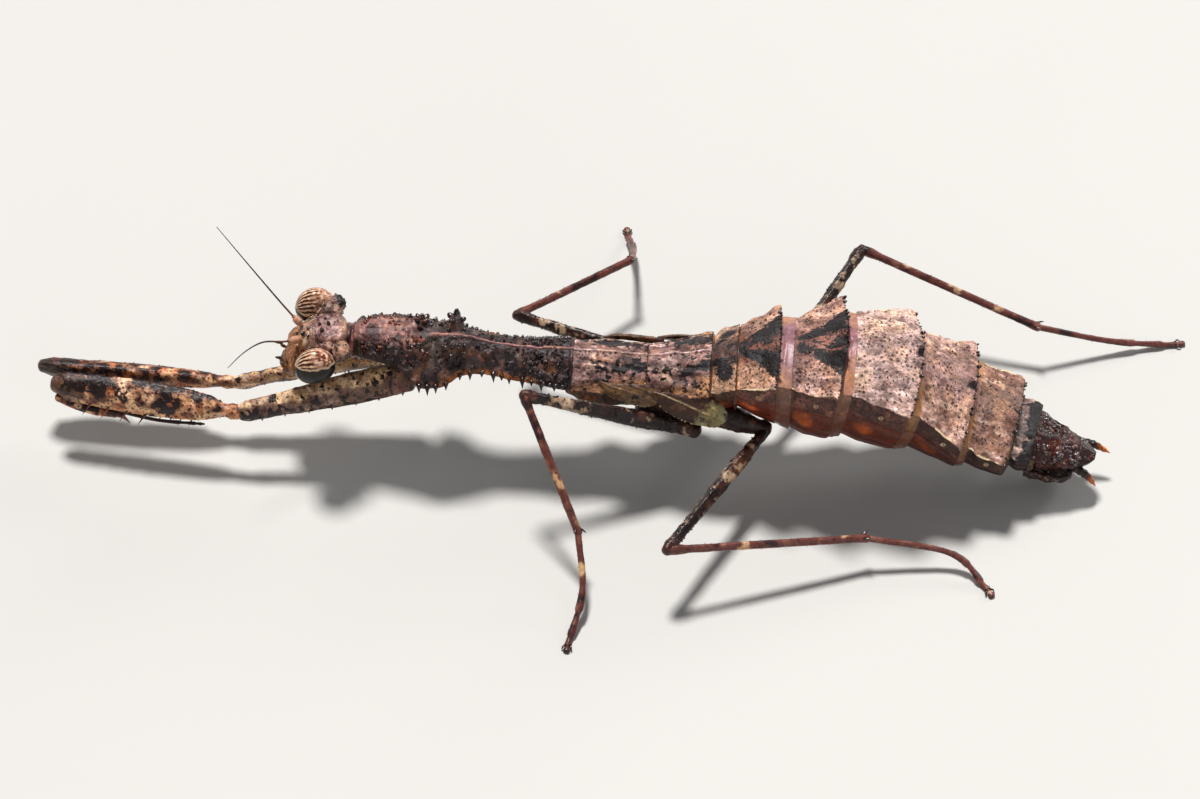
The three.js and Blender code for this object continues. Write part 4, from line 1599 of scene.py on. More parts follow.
    def strewn(self, rng: np.random.Generator, x: float, a: float) -> list[Spot]:
        """One bead of a random size, or none where it would stand on the keel.

        Args:
            rng: Source of random numbers.
            x: Place along the body.
            a: Place across it, from -1 to 1.

        Returns:
            One spot or none.
        """
        if abs(a) < 0.08:
            return []
        size = (0.09 + 0.15 * rng.uniform() ** 2) * (1.25 if x > -4.4 else 1.0)
        return [self.bead(x, a, size, rng.uniform(0.7, 1.3))]

    def red_beads(self) -> list[Spot]:
        """Red-brown beads strewn over the front of the back and its front knobs.

        Returns:
            The spots.
        """
        rng = np.random.default_rng(12)
        spots = []
        for _ in range(105):
            spots += self.strewn(rng, rng.uniform(-15.2, -11.2), rng.uniform(-0.85, 0.85))
        return spots + self.knob_beads(rng, self.knobs[:1])

    def black_beads(self) -> list[Spot]:
        """Black beads: strewn over the back, crowded at its rear and heaped on the knobs.

        Returns:
            The spots.
        """
        rng = np.random.default_rng(13)
        spots = []
        for _ in range(330):
            x = -15.0 + 12.3 * rng.uniform() ** 0.8
            a = rng.uniform(-0.97, 0.97)
            if x < -12 and abs(a) < 0.55:
                a = math.copysign(rng.uniform(0.55, 0.97), a)
            spots += self.strewn(rng, x, a)
        for _ in range(130):
            x = rng.uniform(-5.6, -2.7)
            a = math.copysign(rng.uniform(0.1, 0.95), rng.uniform(-1, 1))
            spots.append(self.bead(x, a, rng.uniform(0.13, 0.26), rng.uniform(0.6, 1.0)))
        for x in (-4.15, -3.75, -3.4, -3.0):
            for side in SIDES:
                size = rng.uniform(0.3, 0.42) * (0.55 if side > 0 else 1.0)
                spots.append(self.bead(x, side * 0.95, size, 0.65))
        return spots + self.knob_beads(rng, self.knobs)

    def knob_beads(
        self, rng: np.random.Generator, knobs: Sequence[tuple[float, float, float, float]]
    ) -> list[Spot]:
        """Large beads in rings round the tops of knobs.

        Args:
            rng: Source of random numbers.
            knobs: The knobs.

        Returns:
            The spots.
        """
        spots = []
        for place, out, radius, _ in knobs:
            half = float(self.trunk.sizes(np.array(place))[1])
            for side, (ring, count) in product(SIDES, ((0.0, 1), (0.34, 4), (0.62, 5))):
                for k in range(count):
                    turn = 2 * math.pi * k / count + rng.uniform(-0.3, 0.3) + place
                    x = place + ring * math.cos(turn) * radius / 0.5
                    a = side * out + ring * math.sin(turn) * radius / 0.5 / half
                    size = rng.uniform(0.26, 0.42) * (1.0 - 0.35 * (ring > 0.5))
                    spots.append(self.bead(x, a, size, rng.uniform(0.7, 1.0)))
        return spots

    def edge_thorns(self) -> list[Spot]:
        """Black thorns along both side edges.

        Returns:
            The spots.
        """
        spots = []
        for (x, length), side in product(self.thorns, SIDES):
            foot = self.trunk.spot(x, side * 0.985, 0.5, 0, 0).place
            spots.append(Spot(foot, (0.1, side, -0.42), 0.32 + length * 0.16, length * 0.85))
        return spots


# ------------------------------------------------------------------ limbs
CAP_TURNS = (2, 25, 50, 72)  # degrees from the tip of a limb's round cap, for its rows


@dataclass(frozen=True)
class Limb:
    """One length of leg or feeler.

    Each row of radii runs: progress, half thickness across, half thickness the deep way,
    which lean points out.
    """

    points: Table
    radii: Sequence[tuple[float, float, float]]
    lean: Point = (0.0, 0.0, 1.0)
    rows: int = 60
    cols: int = 24
    cap: float = 0.7
    floor: float = -math.inf

    def axes(self) -> tuple[Array, ...]:
        """Centres, side and over ways, sizes and progress of the rows.

        Returns:
            One array for each of these, in that order.
        """
        centre = along_line(self.points, self.rows)
        table = np.asarray(self.radii, float)
        t = np.linspace(0, 1, self.rows)
        size = through(table[:, 0], table[:, 1:], t)
        forward = unit(np.gradient(centre, axis=0))
        side = unit(np.cross(np.asarray(self.lean, float), forward))
        over_way = np.cross(forward, side)
        ball = np.radians(CAP_TURNS)
        order = np.pad(np.arange(self.rows), len(ball), "edge")
        shrink = np.concatenate([np.sin(ball), np.ones(self.rows), np.sin(ball[::-1])])
        slide = np.concatenate([-np.cos(ball), np.zeros(self.rows), np.cos(ball[::-1])])
        mean = size.mean(axis=1)[order] * self.cap * slide
        centre = centre[order] + forward[order] * mean[:, None]
        return centre, side[order], over_way[order], size[order] * shrink[:, None], t[order]

    def grid(self, relief: Relief | None = None) -> tuple[Array, Array, Array]:
        """Work out the skin.

        Args:
            relief: Gives the extra thickness from progress, angle and smooth places.

        Returns:
            Places, progress along the limb and angle round it, which is 0 at the side and a
            quarter turn at the end of the deep way.
        """
        centre, side, deep, size, t = self.axes()
        angle = np.linspace(0, 2 * math.pi, self.cols + 1)[None, :]
        t = t[:, None]
        cos, sin = np.cos(angle), np.sin(angle)
        points = (
            centre[:, None]
            + side[:, None] * (cos * size[:, :1])[..., None]
            + deep[:, None] * (sin * size[:, 1:2])[..., None]
        )
        if relief is not None:
            thick = np.minimum(size.mean(axis=1)[:, None] / 0.2, 1.0)
            extra = relief(t, angle, points) * thick
            extra[:, -1] = extra[:, 0]
            way = side[:, None] * cos[..., None] + deep[:, None] * sin[..., None]
            points = points + way * extra[..., None]
        points[..., 2] = np.maximum(points[..., 2], self.floor)
        points[:, -1] = points[:, 0]
        return closed(points), t * np.ones_like(angle), angle * np.ones_like(t)

    def at(self, share: float, angle: float, out: float = 0.0) -> tuple[Array, Array]:
        """A point of the smooth form, moved out by out, and the way out from it.

        Args:
            share: Progress along the limb, from 0 to 1.
            angle: Place around it, in radians.
            out: Distance outwards.

        Returns:
            The point and the way out.
        """
        centre, side, deep, size, _ = self.axes()
        row = len(CAP_TURNS) + int(round(share * (self.rows - 1)))
        cos, sin = math.cos(angle), math.sin(angle)
        way = side[row] * cos + deep[row] * sin
        rim = side[row] * cos * size[row, 0] + deep[row] * sin * size[row, 1]
        return centre[row] + rim + way * out, way

    def grain(self, share: float, angle: float, out: float, width: float, flat: float) -> Spot:
        """A spot that stands square on the form, flat times as high as wide."""
        return Spot(*self.at(share, angle, out), width, width * flat)

    def thorn(
        self, share: float, angle: float, out: float, tip: Point, width: float, length: float
    ) -> Spot:
        """A spot on the form whose way is tipped over."""
        place, way = self.at(share, angle, out)
        return Spot(place, way + np.asarray(tip), width, length)


class Coat(Enum):
    """How a length of leg is coloured."""

    BANDED = "dark with cream bands"
    SHANK = "maroon with narrow pale bands"
    BLOTCHED = "peach with dark blotches"
    ARM = "cream and mauve with rows of dots"
    PLAIN = "dark brown"


def coat_masks(coat: Coat, points: Array, t: Array, angle: Array, seed: int) -> Masks:
    """Colours and masks of a limb's skin.

    Args:
        coat: The way that it is coloured.
        points: Its places.
        t: Progress along it.
        angle: Angle round it.
        seed: Number that sets its own variation.

    Returns:
        Colours and masks by name.
    """
    broad, fine, rise = rough(points, 1.6, seed), rough(points, 0.45, seed + 1), np.sin(angle)
    length = np.linalg.norm(points[-5].mean(axis=0) - points[4].mean(axis=0))
    wave = 0.8 * np.sin(t * length * 2 * math.pi / 3.1 + seed) + 1.3 * broad + 0.9 * fine
    if coat is Coat.BANDED:
        flecks = rough(points, 0.32, seed + 5)
        flecks = flecks + 0.3 * ease(t, 0.55, 0.75) * (1 - ease(t, 0.86, 0.92))
        pale = np.maximum(ease(wave, 0.85, 1.2), 0.75 * ease(flecks, 0.25, 0.42))
        pale = pale * (1 - ease(t, 0.93, 0.97))
        tint = tint_of(
            (t, "2a1d1c"),
            (ease(broad + fine, 0.0, 0.5), "5f3c2d"),
            (ease(t, 0.9, 0.97) * 0.8, "5a362c"),
            (np.maximum(pale, 0.5 * ease(fine * 0.7 - rise, 0.75, 1.1)), "c0aa8e"),
        )
        return skin_masks(tint, ink=ease(-wave, 0.2, 1.0) * 0.55, film=0.35, pits=0.4)
    if coat is Coat.SHANK:
        tint = tint_of(
            (t, "74463f"),
            (ease(fine, 0.1, 0.6), "966a58"),
            (ease(-broad - 0.4 * fine, 0.1, 0.4), "3a2424"),
            (ease(wave, 0.9, 1.3), "ceb08c"),
        )
        return skin_masks(tint, ink=0.25 * ease(-fine, 0.1, 0.6), film=0.4, pits=0.15)
    if coat is Coat.PLAIN:
        tint = tint_of((t, "3a2722"), (ease(fine, 0.1, 0.6), "6d4c38"))
        return skin_masks(tint, ink=0.35 * ease(broad, 0.0, 0.5), film=0.3, pits=0.4)
    if coat is Coat.ARM:
        mauve = ease(0.8 * broad - rise + 0.4 * fine, -0.6, -0.2)
        tint = tint_of(
            (t, "e6c8a2"),
            (ease(fine, 0.0, 0.4) * 0.6, "94694a"),
            (mauve * 0.85, "664a44"),
            (mauve * ease(-fine, 0.1, 0.4) * 0.75, "ab9184"),
            (ease(rise, 0.85, 1.0) * ease(fine, -0.3, 0.2), "a5826a"),
            ((1 - ease(t + 0.1 * broad, 0.03, 0.13)) * 0.7, "6e3a2c"),
        )
        specks = rough(points, 0.28, seed + 4) + 0.5 * broad - 0.2 * rise
        return skin_masks(tint, ink=0.95 * ease(specks + 0.4 * fine, 0.14, 0.3), film=0.2, pits=0.7)
    lower, tip = ease(-rise, 0.75, 0.97), ease(t + 0.06 * broad, 0.82, 0.95)
    orange = ease(rough(points, 0.9, seed + 2), -0.2, 0.3)
    patchy = 0.75 * rough(points * [0.8, 1.2, 1.2], 0.5, seed + 3) + 0.35 * broad + 0.3 * fine
    density = patchy + 0.2 * rise + 0.3 * (t - 0.5) + 0.06
    tint = tint_of(
        (t, "f0cdaa"),
        (orange * 0.8, "c4733c"),
        (ease(density, -0.16, 0.12) * 0.85, "6e3a24"),
        (lower * (1 - tip), "ead2a6"),
        (tip * 0.8, "57413a"),
        (tip * ease(fine, 0.1, 0.4), "9a8250"),
    )
    ink = ease(density, 0.12, 0.28) * 0.95 + 0.65 * ease(fine, 0.16, 0.32)
    return skin_masks(tint, ink=ink * (1 - lower * 0.7) * (1 - tip * 0.5), film=0.3, pits=0.9)


def skin_length(
    name: str, limb: Limb, coat: Coat, relief: Relief | None, seed: int, look: tuple[Material, str]
) -> None:
    """Make one length of leg.

    Args:
        name: Name of the solid that it stands for.
        limb: Its smooth form.
        coat: The way that it is coloured.
        relief: Its extra thickness.
        seed: Number that sets its own variation.
        look: Its material and slot.
    """
    points, t, angle = limb.grid(relief)
    piece = woven(f"{name}_skin", points, coat_masks(coat, points, t, angle, seed))
    dress(piece, *look, name)


def plain_length(name: str, limb: Limb, code: str, material: Material) -> None:
    """Make a claw or hook, all in one colour.

    Args:
        name: The piece's name.
        limb: Its form.
        code: Its colour.
        material: Its finish.
    """
    points, t, _ = limb.grid()
    points[..., 2] = np.maximum(points[..., 2], 0.004)
    dress(woven(name, points, {"tint": tint_of((t, code))}), material, "lacquer")


# ------------------------------------------------------------------ walking legs
@dataclass(frozen=True)
class LegPlan:
    """The joints of one walking leg, from the body to the claws."""

    pair: str
    side: int
    joints: Table
    thigh: Sequence[tuple[float, float, float]]
    seed: int

    @property
    def tag(self) -> str:
        """The leg's name."""
        return f"{self.pair}_{SIDE_NAME[self.side]}"


MID_THIGH = (
    (0, 0.36, 0.42), (0.06, 0.4, 0.46), (0.1, 0.34, 0.42), (0.3, 0.5, 0.62),
    (0.6, 0.42, 0.5), (0.9, 0.34, 0.38), (0.97, 0.38, 0.42), (1, 0.3, 0.34),
)
HIND_THIGH = (
    (0, 0.34, 0.36), (0.05, 0.4, 0.42), (0.09, 0.33, 0.38), (0.25, 0.44, 0.52),
    (0.55, 0.38, 0.43), (0.9, 0.33, 0.37), (0.97, 0.38, 0.42), (1, 0.3, 0.34),
)
COXA = ((0, 0.85, 0.8), (0.5, 0.8, 0.72), (0.85, 0.55, 0.52), (1, 0.5, 0.48))
SHANK = (
    (0, 0.26, 0.3), (0.04, 0.31, 0.34), (0.12, 0.24, 0.26),
    (0.5, 0.25, 0.27), (0.92, 0.24, 0.26), (1, 0.27, 0.29),
)
FOOT = (
    (0, 0.2, 0.2), (0.3, 0.19, 0.19), (0.44, 0.24, 0.22), (0.47, 0.17, 0.16), (0.6, 0.23, 0.21),
    (0.63, 0.16, 0.15), (0.74, 0.22, 0.2), (0.77, 0.15, 0.15), (0.88, 0.19, 0.17), (1, 0.2, 0.15),
)
ROUGHNESS = {  # heights of the ridges and the lumps of each length
    "coxa": (0.03, 0.09),
    "femur": (0.045, 0.075),
    "tibia": (0.014, 0.022),
    "tarsus": (0.014, 0.022),
}
CLAW = ((0, 0.07, 0.08), (0.6, 0.05, 0.05), (1, 0.012, 0.012))

MID_LEFT = (
    (1.9, -1.7, 4.7), (5.1, -2.7, 4.1), (-5.15, -4.6, 8.8), (-1.48, -10.4, 3.3),
    (-1.0, -13.4, 1.45), (-1.6, -16.2, 0.15), (-1.7, -16.95, 0.12),
)
MID_RIGHT = (
    (1.9, 0.7, 4.7), (5.1, 1.7, 4.1), (-6.4, 5.0, 5.0), (0.25, 10.98, 3.9),
    (0.2, 14.0, 1.6), (-0.25, 16.2, 0.15), (-0.4, 16.95, 0.12),
)
HIND_LEFT = (
    (5.5, -1.7, 5.0), (9.35, -2.15, 3.9), (3.95, -12.2, 4.3), (15.73, -8.77, 2.2),
    (20.9, -8.75, 1.15), (22.95, -10.3, 0.15), (23.45, -11.0, 0.12),
)
HIND_RIGHT = (
    (5.5, 0.7, 5.0), (9.35, 1.15, 3.9), (14.57, 11.05, 6.0), (25.75, 8.2, 2.8),
    (30.3, 8.95, 1.0), (34.1, 9.65, 0.15), (34.98, 9.82, 0.12),
)
LEGS = (
    LegPlan("mid", -1, MID_LEFT, MID_THIGH, 61),
    LegPlan("mid", 1, MID_RIGHT, MID_THIGH, 71),
    LegPlan("hind", -1, HIND_LEFT, HIND_THIGH, 81),
    LegPlan("hind", 1, HIND_RIGHT, HIND_THIGH, 91),
)


@dataclass
class WalkingLeg:
    """Hip, thigh, shank, foot and claws of one walking leg."""

    plan: LegPlan

    def build(self, kit: Finishes) -> None:
        """Make the leg's pieces.

        Args:
            kit: The finishes.
        """
        root, hip, knee, heel = self.plan.joints[:4]
        thigh = Limb([hip, knee], self.plan.thigh, rows=170, cols=36, cap=0.9)
        shank = Limb([knee, heel], SHANK, rows=150, cols=28, cap=0.9)
        toes = Limb(self.plan.joints[3:], FOOT, rows=110, cols=22, floor=0.0)
        self.skin("coxa", Limb([root, hip], COXA), Coat.PLAIN, kit)
        self.skin("femur", thigh, Coat.BANDED, kit)
        self.skin("tibia", shank, Coat.SHANK, kit)
        self.skin("tarsus", toes, Coat.SHANK, kit)
        self.trim(thigh, shank, toes, kit)
        self.claws(kit)

    def skin(self, part: str, limb: Limb, coat: Coat, kit: Finishes) -> None:
        """Make one ridged and lumpy length of the leg.

        Args:
            part: Which length it is.
            limb: Its form.
            coat: Its colours.
            kit: The finishes.
        """
        seed = self.plan.seed + len(part)
        keel, lumps = ROUGHNESS[part]

        def relief(t: Array, angle: Array, points: Array) -> Array:
            """Four lengthwise ridges and two sizes of lumps.

            Args:
                t: Progress along the limb, from 0 to 1.
                angle: Place around the limb, in radians.
                points: Places on the smooth form.

            Returns:
                Heights above the smooth form.
            """
            ridges = np.cos(4 * angle) * np.sin(np.pi * np.clip(t, 0, 1))
            swells = rough(points, 0.55, seed) + 0.6 * rough(points, 0.22, seed + 4)
            return keel * ridges + lumps * swells

        name = f"{part}_{self.plan.tag}"
        skin_length(name, limb, coat, relief, seed, (kit.limb, "soot"))

    def trim(self, thigh: Limb, shank: Limb, toes: Limb, kit: Finishes) -> None:
        """Add the grains of the thigh, the hairs and the spurs.

        Args:
            thigh: The thigh's form.
            shank: The shank's form.
            toes: The foot's form.
            kit: The finishes.
        """
        rng = np.random.default_rng(self.plan.seed)
        tag = self.plan.tag
        grains, hairs = [], []
        for _ in range(150):
            angle = rng.integers(0, 4) * math.pi / 2 + rng.normal(0, 0.25)
            share, size = rng.uniform(0.08, 0.98), rng.uniform(0.06, 0.13)
            grains.append(thigh.grain(share, angle, -0.01, size, 0.8))
        for limb, count, length in ((shank, 70, 0.14), (toes, 60, 0.12), (thigh, 40, 0.12)):
            for _ in range(count):
                share = rng.uniform(0.05, 0.97)
                place, way = limb.at(share, rng.uniform(0, 2 * math.pi))
                ahead, _ = limb.at(min(share + 0.03, 1.0), 0)
                behind, _ = limb.at(share - 0.03, 0)
                slant = unit(way + 0.9 * unit(ahead - behind))
                if place[2] + slant[2] * length > 0.02:
                    hairs.append(Spot(place, slant, 0.026, length * rng.uniform(0.6, 1.2)))
        for angle in (0.7, 2.4):
            place, way = shank.at(0.985, angle)
            forward = unit(np.subtract(self.plan.joints[3], self.plan.joints[2]))
            grains.append(Spot(place, way * 0.6 + forward, 0.12, 0.4))
        dress(studded(f"grains_{tag}", Form.BEAD, grains), kit.bead, "soot")
        dress(studded(f"hairs_{tag}", Form.HAIR, hairs, sides=5), kit.amber, "soot")

    def claws(self, kit: Finishes) -> None:
        """Add the two claws, which reach down to the floor.

        Args:
            kit: The finishes.
        """
        heel, tip = np.array(self.plan.joints[5]), np.array(self.plan.joints[6])
        forward = unit(tip - heel)
        across = unit(np.cross([0, 0, 1], forward))
        for number, side in enumerate(SIDES):
            root = heel + forward * 0.3 + across * side * 0.09 + [0, 0, 0.02]
            middle = root + forward * 0.25 + across * side * 0.16 + [0, 0, 0.09]
            end = root + forward * 0.42 + across * side * 0.2
            end[2] = 0.03
            claw = Limb([root, middle, end], CLAW, rows=14, cols=12)
            plain_length(f"claw_{self.plan.tag}_{number}", claw, "1a1010", kit.bead)


# ------------------------------------------------------------------ grasping legs
GRASP_ARM = (
    (0, 0.78, 0.95), (0.3, 0.7, 0.93), (0.6, 0.56, 0.76),
    (0.85, 0.47, 0.6), (0.95, 0.5, 0.6), (1, 0.4, 0.46),
)
GRASP_THIGH = (
    (0, 0.33, 0.4), (0.05, 0.42, 0.5), (0.08, 0.36, 0.42), (0.16, 0.5, 0.7), (0.32, 0.6, 0.94),
    (0.55, 0.64, 1.03), (0.78, 0.58, 0.95), (0.93, 0.54, 0.78), (1, 0.4, 0.5),
)
GRASP_SHANK = ((0, 0.3, 0.34), (0.2, 0.3, 0.36), (0.7, 0.28, 0.36), (1, 0.24, 0.3))
GRASP_HOOK = ((0, 0.2, 0.24), (0.5, 0.12, 0.14), (1, 0.02, 0.02))
GRASP_FOOT = (
    (0, 0.12, 0.12), (0.42, 0.11, 0.11), (0.5, 0.14, 0.13), (0.53, 0.09, 0.09), (0.66, 0.13, 0.12),
    (0.69, 0.08, 0.08), (0.82, 0.12, 0.11), (0.86, 0.08, 0.08), (1, 0.06, 0.06),
)
UPPER, LOWER = math.pi / 2, -math.pi / 2  # angles of a limb's upper and lower edges


@dataclass
class GraspingLeg:
    """Long hip, spined thigh, folded shank with its hook, and thin foot, of one foreleg."""

    side: int
    shoulder: Point
    elbow: Point
    knee: Point
    seed: int

    @property
    def tag(self) -> str:
        """The leg's name."""
        return f"fore_{SIDE_NAME[self.side]}"

    @property
    def lean(self) -> Array:
        """The way that the upper edge of the thigh points."""
        return unit(np.array([0.0, -0.5 * self.side, 0.87]))

    def folded(self, places: Table, radii: Table, rows: int, cols: int) -> Limb:
        """A limb through places given as share and drop under the line from elbow to knee.

        Args:
            places: Shares and drops, one pair a row.
            radii: Half sizes along it.
            rows: Number of rows.
            cols: Number of columns.

        Returns:
            The limb.
        """
        start, end = np.asarray(self.elbow, float), np.asarray(self.knee, float)
        points = [start + (end - start) * share - self.lean * drop for share, drop in places]
        return Limb(points, radii, self.lean, rows, cols)

    def build(self, kit: Finishes) -> None:
        """Make the leg's pieces.

        Args:
            kit: The finishes.
        """
        arm = Limb([self.shoulder, self.elbow], GRASP_ARM, self.lean, rows=190, cols=52)
        thigh = Limb([self.elbow, self.knee], GRASP_THIGH, self.lean, rows=210, cols=60, cap=0.8)
        shank = self.folded(((0.985, 0.75), (0.84, 1.18), (0.68, 1.3)), GRASP_SHANK, 90, 30)
        hook = self.folded(((0.69, 1.28), (0.64, 1.4), (0.6, 1.75)), GRASP_HOOK, 30, 18)
        bends = ((0.66, 1.1), (0.45, 1.3), (0.25, 1.15), (0.2, 1.1))
        foot = self.folded(bends, GRASP_FOOT, 90, 18)
        for part, limb, coat, relief in (
            ("coxa", arm, Coat.ARM, self.arm_relief),
            ("femur", thigh, Coat.BLOTCHED, self.thigh_relief),
            ("tibia", shank, Coat.BLOTCHED, self.shank_relief),
            ("tarsus", foot, Coat.PLAIN, None),
        ):
            seed = self.seed + len(part)
            skin_length(f"{part}_{self.tag}", limb, coat, relief, seed, (kit.arm, "peach"))
        plain_length(f"hook_{self.tag}", hook, "2a1512", kit.amber)
        rng = np.random.default_rng(self.seed)
        self.spines(arm, thigh, shank, rng, kit)
        self.grains(arm, thigh, rng, kit)

    def arm_relief(self, t: Array, angle: Array, points: Array) -> Array:
        """Shape the hip: lengthwise edges, shallow faces and small lumps.

        Args:
            t: Progress along the limb, from 0 to 1.
            angle: Place around the limb, in radians.
            points: Places on the smooth form.

        Returns:
            Heights above the smooth form.
        """
        rise = np.sin(angle)
        edge = 0.09 * bump(rise, 1, 0.08) + 0.07 * bump(rise, -1, 0.1)
        edge = edge + 0.05 * bump(np.cos(angle), self.side * 0.55, 0.1)
        lumps = 0.05 * rough(points, 0.8, self.seed) + 0.04 * rough(points, 0.3, self.seed + 1)
        return edge * ease(t, 0.02, 0.2) + lumps - 0.04 * (1 - np.abs(rise))

    def thigh_relief(self, t: Array, angle: Array, points: Array) -> Array:
        """Shape the thigh: upper keel, furrowed under edge and the knee lobes.

        Args:
            t: Progress along the limb, from 0 to 1.
            angle: Place around the limb, in radians.
            points: Places on the smooth form.

        Returns:
            Heights above the smooth form.
        """
        rise = np.sin(angle)
        keel = 0.08 * bump(rise, 1, 0.05) * ease(t, 0.1, 0.25)
        furrow = -0.28 * bump(rise, -1, 0.05) + 0.1 * bump(rise, -0.86, 0.06)
        furrow = furrow * ease(t, 0.12, 0.3) * (1 - ease(t, 0.9, 0.98))
        groove = -0.05 * bump(rise, 0.35, 0.1) * ease(t, 0.15, 0.3) * (1 - ease(t, 0.8, 0.95))
        knob = 0.07 * bump(t, 0.95, 0.035) * (1 - 0.4 * bump(rise, 0.2, 0.2))
        lumps = 0.05 * rough(points, 0.7, self.seed) + 0.035 * rough(points, 0.28, self.seed + 1)
        return keel + furrow + groove + knob + lumps

    def shank_relief(self, t: Array, angle: Array, points: Array) -> Array:
        """Shape the shank."""
        return 0.04 * np.cos(2 * angle) + 0.04 * rough(points, 0.4, self.seed + 7)

    def spines(
        self, arm: Limb, thigh: Limb, shank: Limb, rng: np.random.Generator, kit: Finishes
    ) -> None:
        """Add the rows of spines.

        Args:
            arm: The hip's form.
            thigh: The thigh's form.
            shank: The shank's form.
            rng: Source of random numbers.
            kit: The finishes.
        """
        outer, inner = LOWER - self.side * 0.55, LOWER + self.side * 0.4
        dark, red = [], []
        for i in range(4):
            place, way = thigh.at(0.5 + 0.1 * i, outer, -0.12)
            red.append(Spot(place, way * 0.8 - self.lean * 0.5 + [-0.75, 0, 0], 0.34, 1.0))
        for i in range(15):
            length = 0.62 if i % 3 == 0 else 0.3
            wide = 0.1 + 0.12 * length
            dark.append(thigh.thorn(0.22 + 0.045 * i, inner, -0.06, (-0.3, 0, 0), wide, length))
        for i in range(4):
            share, length = 0.26 + 0.055 * i, 0.75 - 0.09 * i
            dark.append(thigh.thorn(share, LOWER, -0.05, (-0.35, 0, 0), 0.17, length))
        for i, edge in product(range(12), (0.35, -0.35)):
            share, length = 0.1 + 0.075 * i, 0.2 + 0.02 * i
            dark.append(shank.thorn(share, UPPER + edge, -0.03, (0.5, 0, 0), 0.11, length))
        for i in range(26):
            length = 0.4 if i % 4 == 0 else 0.2
            angle, wide = LOWER + rng.uniform(-0.12, 0.12), 0.22 + length * 0.35
            share = 0.05 + 0.035 * i
            dark.append(arm.thorn(share, angle, -0.04, (-0.25, 0, 0), wide, length * 0.65))
        dress(studded(f"spines_{self.tag}", Form.THORN, dark), kit.bead, "lacquer")
        dress(studded(f"great_spines_{self.tag}", Form.THORN, red, sides=12), kit.amber, "lacquer")

    def grains(self, arm: Limb, thigh: Limb, rng: np.random.Generator, kit: Finishes) -> None:
        """Add the grains along the upper edges and all over the hip and thigh.

        Args:
            arm: The hip's form.
            thigh: The thigh's form.
            rng: Source of random numbers.
            kit: The finishes.
        """
        spots = []
        for limb, first in ((arm, 0.05), (thigh, 0.12)):
            for i in range(34):
                share, angle = first + (0.95 - first) * i / 34, UPPER + rng.normal(0, 0.1)
                spots.append(limb.grain(share, angle, -0.02, rng.uniform(0.08, 0.18), 0.8))
            for _ in range(110):
                share, angle = rng.uniform(0.05, 0.95), rng.uniform(0, 2 * math.pi)
                spots.append(limb.grain(share, angle, -0.01, rng.uniform(0.04, 0.09), 0.7))
        dress(studded(f"grains_{self.tag}", Form.BEAD, spots), kit.bead, "soot")


